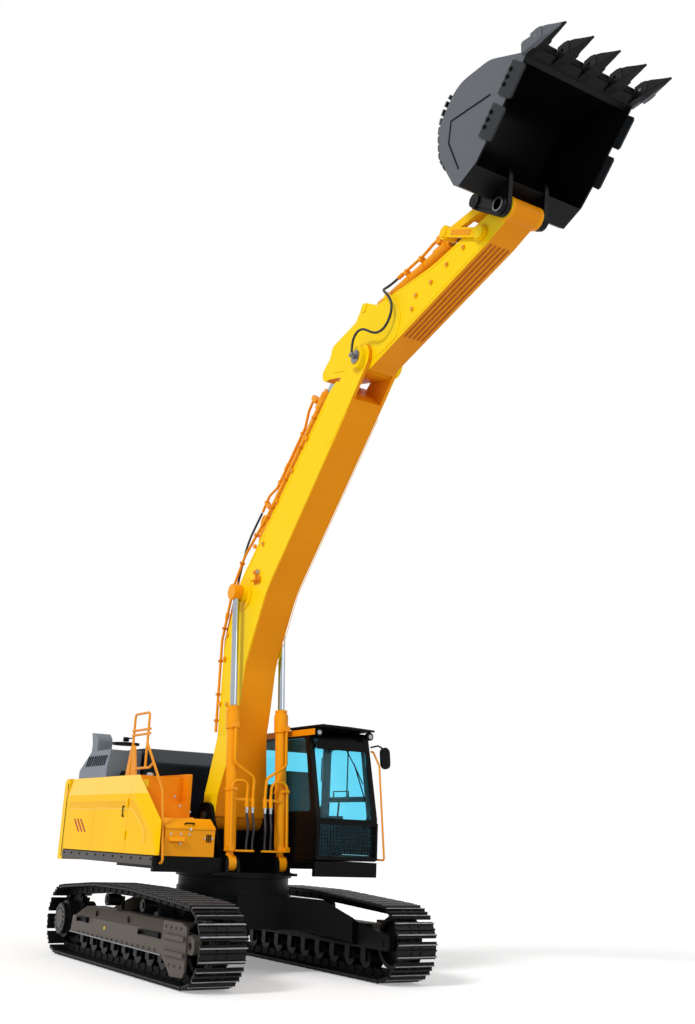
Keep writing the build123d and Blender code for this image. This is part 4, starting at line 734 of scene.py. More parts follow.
def shoe_bolts(centre):
    """Four nuts on every shoe, between its ribs."""
    spots = []
    for here, after in zip(pins, pins[1:] + pins[:1]):
        along = (after - here).normalized()
        out = Vector((along.y, -along.x))
        for share in (-0.17, 0.17):
            spot = (here + after) / 2 + along * share * PITCH_MM + out * (SHOE_OUT + 2)
            turn = facing((out.x, 0, out.y), (along.x, 0, along.y))
            spots += [(at(spot.x, centre + across, spot.y), turn) for across in (-67, 67)]
    return spots


for side, sign in (("left", 1), ("right", -1)):
    low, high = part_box(f"{side}_track")
    centre = (low.y + high.y) * 500
    repeat(f"{side}_shoe_nuts", BOLT, shoe_bolts(centre), track_steel, "undercarriage", 0.016)
    face, hub_x = centre + sign * FLANGE_OUT, WHEELS[1][0]
    ring = [(hub_x + x, face, AXLE_Z + z) for x, z in circle(178, 16)]
    bolts(f"{side}_drive_cover_bolts", ring, (0, sign, 0), 13, pin_steel, "undercarriage")
    piece(f"{side}_drive_cover", [stub(hub_x, AXLE_Z, face - sign * 1, face + sign * 9, 0.13, 40)],
          skirt_grey, "undercarriage", 0.002)
    plate_y = centre + sign * FRAME_OUT
    row = [(x, plate_y, 352) for x in range(-1500, 1300, 175)]
    row += [(x, plate_y, 640) for x in (1420, 1560, 1700, 1840)]
    row += [(x, plate_y, 230) for x in (1560, 1720, 1880)]
    bolts(f"{side}_frame_bolts", row, (0, sign, 0), 14, skirt_grey, "undercarriage")
    flange = [slab([(-1840, 331), (1330, 307), (1330, 322), (-1840, 346)], plate_y, face)]
    piece(f"{side}_frame_flange", flange, worn_steel, "undercarriage", 0.002)
    piece(f"{side}_grease_plate", [stub(-560, 470, plate_y, plate_y + sign * 5, 0.022, 24)],
          label_yellow, "undercarriage")
print(len(row), "cap screws on each frame")

# %% [markdown]
# ## The boom and the arm
# Plates welded into a box show their seams: a bead of weld stands a few millimetres proud along
# every joint. A bead could be sculpted, but at this distance it is a thin round line, so it is a
# curve with a round bevel, turned into a mesh. Handles and wires are made the same way.

# %% Weld beads
def bead(name, route, radius, finish, body):
    """Weld bead or wire along a route of points in metres, as a mesh."""
    data = bpy.data.curves.new(name + "_line", "CURVE")
    data.dimensions = "3D"
    spline = data.splines.new("POLY")
    spline.points.add(len(route) - 1)
    for point, place in zip(spline.points, route):
        point.co = (*place, 1)
    data.bevel_depth = radius
    data.bevel_resolution = 2
    data.use_fill_caps = True
    line = bpy.data.objects.new(name + "_line", data)
    bpy.context.scene.collection.objects.link(line)
    bpy.context.view_layer.update()
    mesh = bpy.data.meshes.new_from_object(line.evaluated_get(bpy.context.evaluated_depsgraph_get()))
    bpy.data.objects.remove(line)
    made = bpy.data.objects.new(name, mesh)
    bpy.context.scene.collection.objects.link(made)
    mesh.materials.clear()
    mesh.materials.append(finish)
    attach(made, body)
    return made


print("beads are drawn as round wires that sink half into the plate")

# %% [markdown]
# The clamps follow the steel pipes along the top of the boom. Each stands at a share of the
# pipe's length, turned to the pipe there, with one bolt head on its outer side.

# %% Pipe clamps
PIPE_ROUTE = [(2265, 7478), (1000, 6240), (220, 5650), (-90, 5240), (-352, 4460), (-352, 3120)]
PIPE_Y = 262
CLAMP_SHARES = (0.05, 0.14, 0.24, 0.33, 0.43, 0.53, 0.63, 0.72, 0.81, 0.9, 0.97)


def along_route(route, share):
    """Point and unit direction at a share of a side-view route's length."""
    spans = [math.dist(a, b) for a, b in zip(route, route[1:])]
    left = share * sum(spans)
    for (a, b), span in zip(zip(route, route[1:]), spans):
        if left <= span:
            break
        left -= span
    way = Vector((b[0] - a[0], b[1] - a[1])).normalized()
    return (a[0] + way.x * left, a[1] + way.y * left), way


def flat(half_long, half_wide):
    """Corners of a rectangle about the origin, in metres."""
    return [(-half_long, -half_wide, 0), (half_long, -half_wide, 0), (half_long, half_wide, 0),
            (-half_long, half_wide, 0)]


CLAMP = mesh_of("pipe_clamp", [prism(flat(0.016, 0.034), (0, 0, -0.024), (0, 0, 0.026))])
for side, sign in (("left", 1), ("right", -1)):
    spots, heads = [], []
    for share in CLAMP_SHARES:
        (x, z), way = along_route(PIPE_ROUTE, share)
        spots.append((at(x, sign * PIPE_Y, z), facing((way.y, 0, -way.x), (way.x, 0, way.y))))
        heads.append((at(x, sign * (PIPE_Y + 30), z), facing((0, sign, 0), (way.x, 0, way.y))))
    repeat(f"{side}_pipe_clamps", CLAMP, spots, tank_enamel, "boom")
    repeat(f"{side}_clamp_bolts", BOLT, heads, silver, "boom", 0.009)

# %% [markdown]
# The box of the boom is closed by flange plates that overlap its sides; the joint shows as a bead.
# Round bosses on the sides carry pipe clamps, and the knee pin sits in a tube with a round flange.

# %% Boom seams and bosses
BOOM_SIDE_Y = 250
BOOM_SEAMS = {
    "low": [(470, 4060), (965, 5020), (2920, 7140)],
    "high": [(-270, 3300), (-252, 4340), (95, 5200), (2300, 7380)],
}
BOOM_BOSSES = [(1855, 7110), (1510, 6660), (760, 5730), (-190, 4520), (-60, 3500)]
knee_plate = [(KNEE[0] + x, KNEE[1] + z) for x, z in circle(235, 28)]
for side, sign in (("left", 1), ("right", -1)):
    near, far = sign * BOOM_SIDE_Y, sign * (BOOM_SIDE_Y + 26)
    for label, seam in BOOM_SEAMS.items():
        route = [at(x, near + sign, z) for x, z in seam]
        bead(f"{side}_boom_{label}_seam", route, 0.0045, yellow_enamel, "boom")
    piece(f"{side}_knee_flange", [slab(knee_plate, near, near + sign * 14)], yellow_enamel, "boom", 0.003)
    piece(f"{side}_boom_bosses", [stub(x, z, near, far, 0.03, 20) for x, z in BOOM_BOSSES],
          amber_enamel, "boom", 0.003)
    heads = [(x, far, z) for x, z in BOOM_BOSSES]
    bolts(f"{side}_boom_boss_bolts", heads, (0, sign, 0), 9, silver, "boom")
print(len(BOOM_BOSSES), "bosses on each side of the boom")

# %% [markdown]
# A pin is kept in its bores by a cap or a plate on each end. The boom's tip has a cap with six
# bolts; the arm's nose has plain ones.

# %% Caps on the pins
def pin_cap(name, centre, near, far, radius, body, finish, count=0):
    """Round cap on a pin's end, with a ring of bolts where it has any."""
    piece(name, [stub(*centre, near, far, radius / 1000, 36)], finish, body, 0.004)
    if count:
        ring = [(centre[0] + x, far, centre[1] + z) for x, z in circle(0.62 * radius, count)]
        bolts(name + "_bolts", ring, (0, 1 if far > near else -1, 0), 10, silver, body)


for side, sign in (("left", 1), ("right", -1)):
    pin_cap(f"{side}_boom_tip_cap", BOOM_TIP, sign * 331, sign * 342, 96, "boom", amber_enamel, 6)
    pin_cap(f"{side}_bucket_pin_cap", ARM_TIP, sign * 354, sign * 360, 72, "arm", box_grey)
print("caps at", [round(value) for value in BOOM_TIP], "and", [round(value) for value in ARM_TIP])

# %% [markdown]
# The arm carries a guard of wear strips under its nose, small bosses on its side, and weld beads
# where the rear plate is doubled. Rubbing against the bucket's load keeps the strips rusty.

# %% Arm details
ARM_SIDE_Y = 190
ARM_SEAMS = {
    "low": [(3420, 7680), (4200, 7925), (5000, 8175), (5810, 8425)],
    "high": [(3980, 8510), (4680, 8515), (5300, 8620), (5450, 8648)],
}
ARM_BOSSES = [(4380, 8280), (4700, 8330), (5020, 8440), (5350, 8530), (4300, 8120)]
DOUBLER = [(3873, 8470), (3990, 8300), (4047, 8110), (3950, 7890), (3780, 7822), (3560, 7768), (3300, 7738)]
EAR = [(3540, 8555), (3600, 8640), (3660, 8640), (3720, 8555)]
for side, sign in (("left", 1), ("right", -1)):
    near, far = sign * ARM_SIDE_Y, sign * (ARM_SIDE_Y + 24)
    for label, seam in ARM_SEAMS.items():
        route = [at(x, near + sign, z) for x, z in seam]
        bead(f"{side}_arm_{label}_seam", route, 0.004, yellow_enamel, "arm")
    route = [at(x, near + sign * 3, z) for x, z in DOUBLER]
    bead(f"{side}_doubler_weld", route, 0.006, yellow_enamel, "arm")
    piece(f"{side}_arm_bosses", [stub(x, z, near, far, 0.028, 20) for x, z in ARM_BOSSES],
          amber_enamel, "arm", 0.003)
    bolts(f"{side}_arm_boss_bolts", [(x, far, z) for x, z in ARM_BOSSES], (0, sign, 0), 8, silver, "arm")
    piece(f"{side}_arm_lug", [slab(EAR, sign * 120, sign * 150)], yellow_enamel, "arm", 0.004)
WEAR_STRIP = [(4060, 7833), (5800, 8376), (5800, 8390), (4060, 7847)]
wear = [slab(WEAR_STRIP, y - 11, y + 11) for y in (-130, -65, 0, 65, 130)]
piece("arm_wear_strips", wear, worn_enamel, "arm", 0.002)
print(len(wear), "wear strips,", len(ARM_BOSSES), "bosses on each side")

# %% [markdown]
# The rocker's cheeks are cut from plate with a raised panel along the middle. It runs between the
# rocker's two pins and stops short of their bosses.

# %% Panels on the rocker
BOSS_CLEAR, PANEL_HALF = 170, 34
foot, head = Vector(pivot("rocker_turn")), Vector(pivot("link_turn"))
way = (head - foot).normalized()
across = Vector((-way.y, way.x)) * PANEL_HALF
start, end = foot + way * BOSS_CLEAR, head - way * BOSS_CLEAR
panel = [tuple(point) for point in (start + across, end + across, end - across, start - across)]
for side, sign in (("left", 1), ("right", -1)):
    piece(f"{side}_rocker_panel", [slab(panel, sign * 240, sign * 246)], amber_enamel, "rocker", 0.003)
print("rocker panel", round((end - start).length), "mm long")

# %% [markdown]
# ## The bucket
# A rock bucket is welded from thick wear plate, with what wears first made to be replaced: side
# cutters are bolted beside the lip, and shrouds cover it between the teeth. A long bead of weld
# runs round each side plate.

# %% Bucket fittings
BUCKET_Y, CUTTER_THICK, TOOTH_PITCH = 810, 26, 395
SIDE_RIB = [(6033, 9028), (5847, 9467), (5892, 9751), (6609, 9687)]
CUTTERS = [((6560, 9105), (6830, 9395)), ((6900, 9465), (7170, 9755))]
SHROUD = [(7120, 9985), (7300, 9995), (7372, 9950), (7352, 9900), (7120, 9900)]


def cutter_ring(start, way, end):
    """Outline of a side cutter along the edge of a side plate, from its lower edge's two ends."""
    up = Vector((way.y, -way.x))
    ring = [start + up * 62, start + way * 30 + up * 84, end - way * 30 + up * 84, end + up * 62,
            end - up * 195, start - up * 195]
    return [tuple(point) for point in ring]


for side, sign in (("left", 1), ("right", -1)):
    near, far = sign * BUCKET_Y, sign * (BUCKET_Y + CUTTER_THICK)
    route = [at(x, near + sign, z) for x, z in SIDE_RIB]
    bead(f"{side}_bucket_rib", route, 0.011, satin_black, "bucket")
    cutters = []
    for start, end in CUTTERS:
        start, end = Vector(start), Vector(end)
        way = (end - start).normalized()
        cutters.append(slab(cutter_ring(start, way, end), near, far))
        row = [start.lerp(end, share) - Vector((way.y, -way.x)) * 145 for share in (0.3, 0.52, 0.74)]
        bolts(f"{side}_cutter_bolts_{len(cutters)}", [(spot.x, far, spot.y) for spot in row],
              (0, sign, 0), 22, satin_black, "bucket")
    piece(f"{side}_side_cutters", cutters, cutter_steel, "bucket", 0.006)
middles = [share * TOOTH_PITCH for share in (-1.5, -0.5, 0.5, 1.5)]
shrouds = [slab(SHROUD, y - 105, y + 105) for y in middles]
piece("lip_shrouds", shrouds, bucket_black, "bucket", 0.012)
print(len(shrouds), "shrouds between the teeth")

# %% [markdown]
# A tooth is a cast point pushed over an adapter and held by a pin. It thins to its tip from every
# side, so it is a stack of four rings and not one prism. Wear blocks follow the heel's curve in
# short straight steps, because they are sawn from bar and welded on one by one.

# %% Teeth
def tooth(y):
    """Pointed tooth over its adapter: a wedge that thins to its tip from every side."""
    root = [(7345, 9996), (7450, 10002), (7520, 9985), (7520, 9846), (7450, 9832), (7345, 9830)]
    spine = [(7500, 9990, 9842, 66), (7580, 9972, 9846, 50), (7690, 9922, 9850, 34), (7819, 9872, 9854, 9)]
    corners, faces = [], []
    for x, top, low, half in spine:
        corners += [at(x, y - half, top), at(x, y + half, top), at(x, y + half, low), at(x, y - half, low)]
    for ring in range(len(spine) - 1):
        first = 4 * ring
        faces += [(first + k, first + (k + 1) % 4, first + (k + 1) % 4 + 4, first + k + 4) for k in range(4)]
    last = 4 * (len(spine) - 1)
    faces += [(0, 1, 2, 3), (last, last + 1, last + 2, last + 3)]
    return [(corners, faces), slab(root, y - 78, y + 78)]


for number in range(1, 6):
    y = (number - 3) * TOOTH_PITCH
    piece(f"tooth_{number}", tooth(y), bucket_black, "bucket", 0.006)
    pin_ends = [(7420, y + 75, 9915), (7420, y - 75, 9915)]
    bolts(f"tooth_pin_{number}", pin_ends, (0, 1, 0), 15, pin_steel, "bucket")
print("teeth", TOOTH_PITCH, "mm apart")

# %% [markdown]
# The blocks along the heel come in pairs, one at each side plate. Outwards is the side away from
# a point inside the bucket, so each block is turned to face away from it.

# %% Wear blocks
INSIDE = Vector((6250, 9600))
HALF_THICK, BLOCK_WIDE = 16, 95
heel = [(5885, 10140), (5815, 10098), (5745, 10025), (5690, 9930), (5655, 9825), (5640, 9700),
        (5642, 9580), (5650, 9460), (5668, 9345), (5722, 9245), (5778, 9145)]
blocks = []
for (x, z), (x_next, z_next) in zip(heel, heel[1:]):
    start, end = Vector((x, z)), Vector((x_next, z_next))
    way = (end - start).normalized()
    out = Vector((way.y, -way.x))
    if out.dot(start - INSIDE) <= 0:
        out = -out
    start, end, out = start + way * HALF_THICK, end - way * HALF_THICK, out * HALF_THICK
    ring = [tuple(point) for point in (start - out, end - out, end + out, start + out)]
    blocks += [slab(ring, BUCKET_Y - BLOCK_WIDE, BUCKET_Y), slab(ring, -BUCKET_Y, BLOCK_WIDE - BUCKET_Y)]
piece("heel_wear_blocks", blocks, bucket_black, "bucket", 0.003)
print(len(blocks), "wear blocks")

# %% [markdown]
# ## Upper structure
# Side panels are pressed sheet. Their crease, vents, latches and stripes make the machine read at
# full size, so they are modelled; small print and badges are left off, and their places stay bare.

# %% Side panels
SIDE_Y = 1495
for side, sign in (("left", 1), ("right", -1)):
    near, far = sign * SIDE_Y, sign * (SIDE_Y + 9)
    skirt = [brick((-2830, 600), (near, far), (1298, 1408))]
    piece(f"{side}_skirt", skirt, skirt_grey, "upper_structure", 0.003)
    heads = [(x, far, 1375) for x in range(-2740, 600, 330)]
    bolts(f"{side}_skirt_bolts", heads, (0, sign, 0), 12, satin_black, "upper_structure")
STRIPE = [(0, 1860), (62, 1860), (300, 1675), (238, 1675)]
stripes = [slab([(start + x, z) for x, z in STRIPE], -SIDE_Y - 2, -SIDE_Y + 1)
           for start in (-2489, -2357, -2225)]
piece("right_red_stripes", stripes, stripe_red, "upper_structure")
print(len(heads), "bolts along each skirt,", len(stripes), "stripes")

# %% [markdown]
# A shallow groove is pressed into the right panels: it runs level under the painted highlight
# band, then down beside the front edge. It is drawn as a darker strip of painted shade with a pale
# lip of painted highlight. It crosses three panels, so each panel gets the part that lies on it,
# and the piece on the door turns with the door.

# %% Pressed groove
GROOVE_START, GROOVE_Y = -2740, -SIDE_Y - 1.5
GROOVE_TURN_HIGH, GROOVE_TURN_LOW = (-182, 2103), (-239, 1996)
PANELS = [("engine", -2834, -1656, "upper_structure"), ("door", -1644, -386, "right_service_door"),
          ("cover", -374, 340, "upper_structure")]
for label, rear, front, body in PANELS:
    start = max(rear + 10, GROOVE_START)
    high_end = (min(front, GROOVE_TURN_HIGH[0]), GROOVE_TURN_HIGH[1])
    low_end = (min(front, GROOVE_TURN_LOW[0]), GROOVE_TURN_LOW[1])
    strip = [slab([(start, 2110), high_end, low_end, (start, 2010)], GROOVE_Y, -SIDE_Y)]
    lip = [(start, 2010), low_end]
    if label == "cover":
        strip.append(slab([GROOVE_TURN_HIGH, (315, 1740), (222, 1739), GROOVE_TURN_LOW], GROOVE_Y, -SIDE_Y))
        strip.append(slab([(315, 1740), (330, 1566), (230, 1564), (222, 1739)], GROOVE_Y, -SIDE_Y))
        lip += [(222, 1739), (230, 1564)]
    piece(f"right_{label}_groove", strip, groove_painted_shade, body)
    route = [at(x, GROOVE_Y, z) for x, z in lip]
    bead(f"right_{label}_groove_lip", route, 0.0045, lip_painted_highlight, body)
print("groove over", len(PANELS), "panels")

# %% [markdown]
# The exhaust box stands on the deck and leans inwards. Its louvres are punched from its sheet: a
# small hood bent over an opening, whose shade is painted as a black slot under the hood. Both are
# repeated in two groups along one level, turned to the lean of the sheet so that no hood stands off it.

# %% Louvres
# The black slot is painted shade: it stands for the dark inside the opening.
SLOT_SHADE = mesh_of("slot", [prism(flat(0.08, 0.017), (0, 0, -0.002), (0, 0, 0.002))])
HOOD_FOOT = [(-0.08, 0.017, 0), (0.08, 0.017, 0), (0.08, 0.024, 0), (-0.08, 0.024, 0)]
LOUVRE_HOOD = mesh_of("louvre", [prism(HOOD_FOOT, (0, 0, -0.002), (0, -0.012, 0.013))])
LOUVRE_Z, LOUVRE_PITCH = 2694, 80
BOX_FOOT_Y, BOX_FOOT_Z, BOX_LEAN = -1432, 2570, 52 / 330
louvre_y = BOX_FOOT_Y + (LOUVRE_Z - BOX_FOOT_Z) * BOX_LEAN
turn = facing((0, -1, BOX_LEAN), (0.34, 0, 0.94))
slots = []
for first, last in ((-2355, -2195), (-2105, -1625)):
    count = round((last - first) / LOUVRE_PITCH)
    slots += [(at(first + (last - first) * number / count, louvre_y, LOUVRE_Z), turn)
              for number in range(count + 1)]
repeat("exhaust_slots", SLOT_SHADE, slots, satin_black, "upper_structure")
repeat("exhaust_louvres", LOUVRE_HOOD, slots, box_grey, "upper_structure")
print(len(slots), "louvres")

# %% [markdown]
# Doors and lids are opened by folded steel handles. Each is a wire bent into a U, so the bead
# helper makes it from four points.

# %% Latches and handles
def handle(name, start, end, out, body):
    """U-shaped grab handle between two points in millimetres, standing out from the surface in metres."""
    start, end, out = at(*start), at(*end), Vector(out)
    return bead(name, [start, start + out, end + out, end], 0.011, satin_black, body)


LATCH_OUT = 0.022
handle("service_door_latch", (-520, -SIDE_Y, 1900), (-520, -SIDE_Y, 2030), (0, -LATCH_OUT, 0),
       "right_service_door")
handle("left_door_latch", (-1780, SIDE_Y, 1900), (-1780, SIDE_Y, 2030), (0, LATCH_OUT, 0),
       "left_engine_door")
handle("toolbox_handle", (560, -1060, 1820), (560, -940, 1820), (0.035, 0, 0.012), "toolbox_lid")
print("three handles")

# %% [markdown]
# The toolbox has a lock on its lid, and a folded step and a small vent on its front. Small
# fittings like these are what makes a large flat face read at its true size.

# %% Toolbox fittings
TOOLBOX_FRONT = 626
lock = [rod(at(612, -1000, 1755), at(634, -1000, 1755), 0.018, 20)]
piece("toolbox_lock", lock, silver, "toolbox_lid", 0.002)
STEP_FOLD = [(622, 1600), (668, 1600), (668, 1606), (640, 1660), (622, 1660)]
piece("toolbox_step", [slab(STEP_FOLD, -1300, -1085)], amber_enamel, "upper_structure", 0.003)
heads = [(TOOLBOX_FRONT, y, z) for y, z in ((-1279, 1690), (-1136, 1690), (-1016, 1693), (-1136, 1575))]
bolts("toolbox_step_bolts", heads, (1, 0, 0), 11, silver, "upper_structure")
vent = [brick((622, 630), (y, y + 14), (1601, 1699)) for y in (-764, -738, -712)]
piece("toolbox_vent", vent, satin_black, "upper_structure", 0.001)
heads = [(TOOLBOX_FRONT, y, 1650) for y in (-790, -678)]
bolts("toolbox_vent_bolts", heads, (1, 0, 0), 10, silver, "upper_structure")
print(len(vent), "slots in the vent")

# %% [markdown]
# The fuel tank is a folded box with one welded seam across its front, four bolts, a bare label
# and a filler cap on top. Behind it the deck has the cap of an air filter.

# %% Tank fittings
piece("tank_seam", [brick((8, 13), (-1425, -752), (2104, 2112))], amber_enamel, "upper_structure")
heads = [(-158, -912, 2184), (-158, -751, 2251), (12, -902, 2060), (12, -743, 1987)]
bolts("tank_bolts", heads, (1, 0, 0), 11, silver, "upper_structure")
piece("tank_label", [brick((-161, -157), (-1400, -1320), (2287, 2388))], label_yellow, "upper_structure")


def stepped_cap(name, x, y, heights, radii, sides, finish, bevel):
    """Two round steps, one on the other, upright."""
    parts = [rod(at(x, y, low), at(x, y, high), radius, count)
             for low, high, radius, count in zip(heights, heights[1:], radii, sides)]
    piece(name, parts, finish, "upper_structure", bevel)


stepped_cap("tank_cap", -420, -1200, (2444, 2486, 2496), (0.052, 0.030), (32, 24), silver, 0.003)
stepped_cap("deck_filter_cap", -1390, -1180, (2450, 2520, 2545), (0.075, 0.060), (36, 36), satin_black, 0.004)
print(len(heads), "bolts on the tank")

# %% [markdown]
# The bonnet breathes through two banks of slats, one on each side of its middle. They ride on the
# bonnet, so they lift with it.

# %% Bonnet grille
SLATS, SLAT_PITCH = 14, 0.07
hood_low, hood_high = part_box("engine_hood")
upwards = facing((0, 0, 1), (1, 0, 0))
grille = [(Vector((hood_low.x + 0.25 + row * SLAT_PITCH, bank * 0.32, hood_high.z + 0.001)), upwards)
          for row in range(SLATS) for bank in (-1, 1)]
slat = mesh_of("hood_slat", [prism(flat(0.012, 0.26), (0, 0, -0.004), (0, 0, 0.008))])
repeat("hood_grille", slat, grille, satin_black, "engine_hood")

# %% [markdown]
# ## Counterweight and deck
# The tail is one casting: a dark strip and an orange reflector mark each of its corners, and
# bolts hold the rear deck plates.

# %% Counterweight marks
for side, sign in (("left", 1), ("right", -1)):
    strip = [brick((-2900, -2880), (sign * (SIDE_Y - 3), sign * (SIDE_Y + 5)), (1320, 2380))]
    piece(f"{side}_corner_strip", strip, satin_black, "upper_structure", 0.002)
    mark = [brick((-2888, -2868), (sign * (SIDE_Y - 2), sign * (SIDE_Y + 8)), (2180, 2290))]
    piece(f"{side}_reflector", mark, reflector, "upper_structure", 0.002)
heads = [(x, y, 2452) for x in (-1250, -1100) for y in (-1250, -850, -450, 450, 850, 1250)]
bolts("deck_bolts", heads, (0, 0, 1), 12, silver, "upper_structure")
print("a strip and a reflector at each rear corner")

# %% [markdown]
# ## The cab
# The lower front pane is behind a wire guard: a CAD frame, filled here with two families of
# wires that are spaced as real welded mesh is.

# %% Guard mesh
MESH_MM, WIRE = 46, 0.005
guard_low, guard_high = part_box("front_guard")
guard_x = (guard_low.x + guard_high.x) / 2
inside_low, inside_high = guard_low + Vector((0, 0.04, 0.035)), guard_high - Vector((0, 0.035, 0.04))
inside = inside_high - inside_low
wires = []
for count in range(int(inside.y * 1000 / MESH_MM)):
    y = inside_low.y + count * MESH_MM / 1000
    wires.append(rod((guard_x, y, inside_low.z), (guard_x, y, inside_high.z), WIRE, 6))
for count in range(int(inside.z * 1000 / MESH_MM)):
    z = inside_low.z + count * MESH_MM / 1000
    wires.append(rod((guard_x, inside_low.y, z), (guard_x, inside_high.y, z), WIRE, 6))
piece("guard_mesh", wires, satin_black, "upper_structure")
print(len(wires), "guard wires")

# %% [markdown]
# The wiper parks across the upper front pane: an arm that bows away from the glass and a blade
# that lies on it. The roof carries a lamp at each front corner and a painted strip on its edge.

# %% Wiper, roof lamps and roof strip
wiper_root, wiper_tip = at(1240, 985, 2895), at(1250, 1280, 2440)
bow = (wiper_root + wiper_tip) / 2 + Vector((0.012, 0, 0))
bead("wiper_arm", [wiper_root, bow, wiper_tip], 0.008, satin_black, "upper_structure")
blade = [wiper_tip + Vector((0, -0.16, 0.27)), wiper_tip + Vector((0.006, 0.05, -0.24))]
bead("wiper_blade", blade, 0.009, satin_black, "upper_structure")
lenses = [rod(at(1188, y, 3098), at(1196, y, 3098), 0.032, 28) for y in (575, 1423)]
piece("roof_lamp_lenses", lenses, lamp_glass, "upper_structure", 0.002)
edge_strip = [brick((-420, 1180), (501, 509), (3062, 3146))]
piece("roof_edge_strip", edge_strip, tank_enamel, "upper_structure", 0.002)
print("wiper blade", round((blade[1] - blade[0]).length * 1000), "mm long")

# %% [markdown]
# The door is two panes with a rail between them, a divider where the upper pane slides, and a bar
# to pull it shut. A second bar stands on the pillar behind it, for climbing in. A dark sheet
# hangs inside, at the top of the front pane, and darkens that band of it.

# %% Door rails and dark sheet
CAB_IN_Y, CAB_OUT_Y = 505, 1493
RAIL = [(50, 2215), (1066, 2215), (1050, 2288), (50, 2288)]
DOOR_BAR = [(240, 2260), (240, 2365), (640, 2365), (640, 2260)]
PILLAR_BAR = [(45, 2520), (90, 2530), (90, 2850), (45, 2860)]
rails = [slab(RAIL, CAB_OUT_Y - 44, CAB_OUT_Y - 28), slab(RAIL, CAB_OUT_Y - 18, CAB_OUT_Y - 2)]
piece("door_mid_rail", rails, black_enamel, "cab_door", 0.002)
route = [at(x, CAB_OUT_Y - 60, z) for x, z in DOOR_BAR]
bead("door_grab_bar", route, 0.011, satin_black, "cab_door")
route = [at(560, CAB_OUT_Y - 34, z) for z in (2280, 2956)]
bead("door_pane_divider", route, 0.010, satin_black, "cab_door")
route = [at(-75, CAB_OUT_Y - inwards, z) for inwards, z in PILLAR_BAR]
bead("pillar_grab_bar", route, 0.011, satin_black, "upper_structure")
# A dark sheet inside the top of the front pane darkens that band.
dark_sheet = [brick((1128, 1134), (CAB_IN_Y + 75, CAB_OUT_Y - 75), (2880, 3015))]
piece("front_blind", dark_sheet, satin_black, "upper_structure", 0.002)
print("door rail", RAIL[1][0] - RAIL[0][0], "mm long")

# %% [markdown]
# The boom's lamp is a small box in the CAD; only its lens is added.

# %% Boom lamp lens
LENS_Y, LENS_Z = -288, 5325
piece("boom_lamp_lens", [rod(at(688, LENS_Y, LENS_Z), at(694, LENS_Y, LENS_Z), 0.030, 28)],
      lamp_glass, "boom", 0.001)
print("lens at", LENS_Z, "mm")

# %% [markdown]
# ## Cylinders
# Each boom cylinder ends in a gland nut with a dark wiper seal, where its rod goes in; hard
# chrome reflects the whole sky in a thin bright line, which is why the rods read as mirrors. Both
# are bands across the cylinder's axis, so one helper places them along the line of its pins.

# %% Bands on the boom cylinders
BOOM_FOOT_PIN = pivot("left_boom_barrel_tilt")
ROD_Y, PIN_SPAN = 386, 3.736


def ring_on(name, travel, y, radius, long, finish, body):
    """Band round a boom cylinder, that starts at a distance in metres from its lower pin."""
    foot, pin = Vector(BOOM_FOOT_PIN), Vector(KNEE)
    centre = foot.lerp(pin, travel / PIN_SPAN)
    way = (pin - foot).normalized()
    start = at(centre.x, y, centre.y)
    piece(name, [rod(start, start + Vector((way.x, 0, way.y)) * long, radius, 36)], finish, body, 0.003)


print("pins of the boom cylinder", round((Vector(KNEE) - Vector(BOOM_FOOT_PIN)).length), "mm apart")

# %% [markdown]
# A hose leaves its port through a crimped steel ferrule and a hexagon nut. Both lie along the
# first stretch of the hose, so they are placed from its route.

# %% Hose crimps
def crimp(name, y, body):
    """Ferrule and nut at the top of a drop hose that hangs at a distance from the centre line."""
    (x, z), (x_next, z_next) = DROP_HOSE[:2]
    way = Vector((x_next - x, 0, z_next - z)).normalized()
    top = at(x, y, z)
    piece(name, [rod(top, top + way * 0.075, 0.0215, 20), rod(top, top + way * 0.022, 0.026, 6)],
          silver, body, 0.001)


print("crimps from", round(DROP_HOSE[0][1]), "mm down")

# %% [markdown]
# With both helpers the ends of the cylinders are dressed on each side. The rod's eye sits on the
# knee pin behind a painted sleeve, as long as the CAD rod is wide, and the arm's nose has one too.

# %% Cylinder ends
for side, sign in (("left", 1), ("right", -1)):
    barrel = f"{side}_boom_barrel"
    rod_low, rod_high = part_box(f"{side}_boom_rod")
    near, far = sign * 329.5, sign * max(rod_high.y, -rod_low.y) * 1000 + sign
    piece(f"{side}_knee_sleeve", [stub(*KNEE, near, far, 0.1145, 40)], amber_enamel,
          f"{side}_boom_rod_body", 0.002)
    ring_on(f"{side}_boom_gland", 2.05, sign * ROD_Y, 0.088, 0.03, amber_enamel, barrel)
    ring_on(f"{side}_boom_wiper_seal", 2.08, sign * ROD_Y, 0.066, 0.008, satin_black, barrel)
    piece(f"{side}_arm_nose_sleeve", [stub(*ARM_TIP, sign * 190, sign * 231, 0.1415, 48)],
          amber_enamel, "arm", 0.002)
    for end, reach in DROP_REACH:
        crimp(f"{side}_{end}_crimp", sign * reach, barrel)
print("sleeve ends", round(abs(far)), "mm from the centre line")

# %% [markdown]
# ## Floor and light
# A studio: a pale floor that goes on past the frame, a broad soft key from the front right that
# makes the sides glow, and even light all round so that the underside keeps its colour. The
# background is white because the floor and the sky look white to the camera, not because more
# light falls on the machine: Light Path tells the camera's, the glass's and the gloss's rays
# from the light that falls on things.

# %% Sky
WORLD_LIGHT, WHITE = 0.46, 1.0
bpy.context.scene.view_settings.view_transform = "Standard"


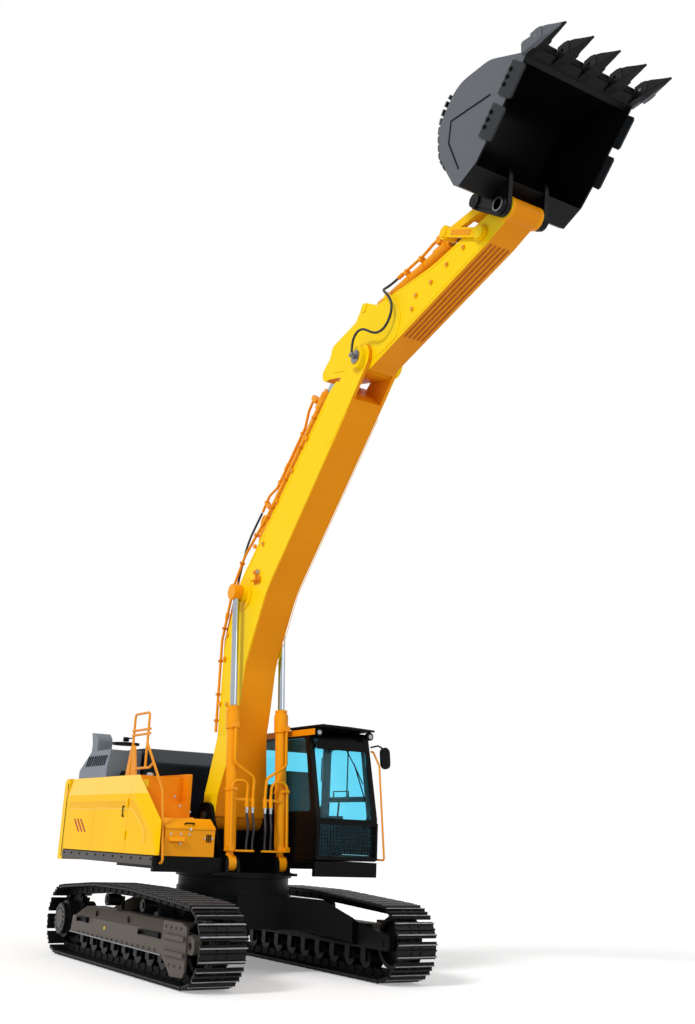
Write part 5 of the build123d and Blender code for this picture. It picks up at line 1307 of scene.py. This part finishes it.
def looks_at_it(tree):
    """Socket that is 1 for rays that show a thing to the camera, straight or in glass or gloss."""
    rays = add(tree, "ShaderNodeLightPath").outputs
    clear = {0: rays["Is Camera Ray"], 1: rays["Is Transmission Ray"]}
    seen = add(tree, "ShaderNodeMath", links=clear, operation="MAXIMUM")
    glossy = {0: seen.outputs[0], 1: rays["Is Glossy Ray"]}
    return add(tree, "ShaderNodeMath", links=glossy, operation="MAXIMUM").outputs[0]


world = bpy.data.worlds.new("studio")
bpy.context.scene.world = world
world.use_nodes = True
sky = world.node_tree
levels = {"To Min": WORLD_LIGHT, "To Max": WHITE}
strength = add(sky, "ShaderNodeMapRange", levels, {"Value": looks_at_it(sky)})
background = sky.nodes["Background"]
background.inputs["Color"].default_value = (1, 1, 1, 1)
sky.links.new(strength.outputs["Result"], background.inputs["Strength"])
print("the sky lights things at", WORLD_LIGHT, "and looks", WHITE)

# %% [markdown]
# The floor is a sheet of white paper. A little emission, seen only by those same rays, lifts it to
# the sky's white without adding light, so it still keeps the machine's shadow.

# %% Floor
FLOOR_LIFT, FLOOR_HALF = 0.28, 90
floor_paper = surface("studio_floor", "#F6F6F6", "#F4F4F4", 0.9)
paper = floor_paper.node_tree
lift = add(paper, "ShaderNodeMath", {1: FLOOR_LIFT}, {0: looks_at_it(paper)}, operation="MULTIPLY")
paper_inputs = paper.nodes["Principled BSDF"].inputs
paper_inputs["Emission Color"].default_value = (1, 1, 1, 1)
paper.links.new(lift.outputs[0], paper_inputs["Emission Strength"])
corners = [(x, y, -0.01) for x, y, _ in flat(FLOOR_HALF, FLOOR_HALF)]
floor = bpy.data.objects.new("floor", mesh_of("floor", [prism(corners, (0, 0, -0.2), (0, 0, 0.0))]))
bpy.context.scene.collection.objects.link(floor)
floor.data.materials.append(floor_paper)
print("floor", 2 * FLOOR_HALF, "m across")

# %% [markdown]
# Two distant lamps: the key stands to the front right, half-way up, and is broad enough for soft
# shadows; the fill opens up the front.

# %% Lamps
def sun(name, energy, azimuth, elevation, size):
    """Distant lamp that shines from a compass direction and a height, both in degrees."""
    data = bpy.data.lights.new(name, "SUN")
    data.energy = energy
    data.angle = math.radians(size)
    lamp = bpy.data.objects.new(name, data)
    azimuth, elevation = math.radians(azimuth), math.radians(elevation)
    level = math.cos(elevation)
    towards = Vector((level * math.cos(azimuth), level * math.sin(azimuth), math.sin(elevation)))
    lamp.rotation_euler = towards.to_track_quat("Z", "Y").to_euler()
    bpy.context.scene.collection.objects.link(lamp)


sun("key", 1.65, -72, 38, 14)
sun("fill", 0.5, 20, 25, 30)
print("lamps set")
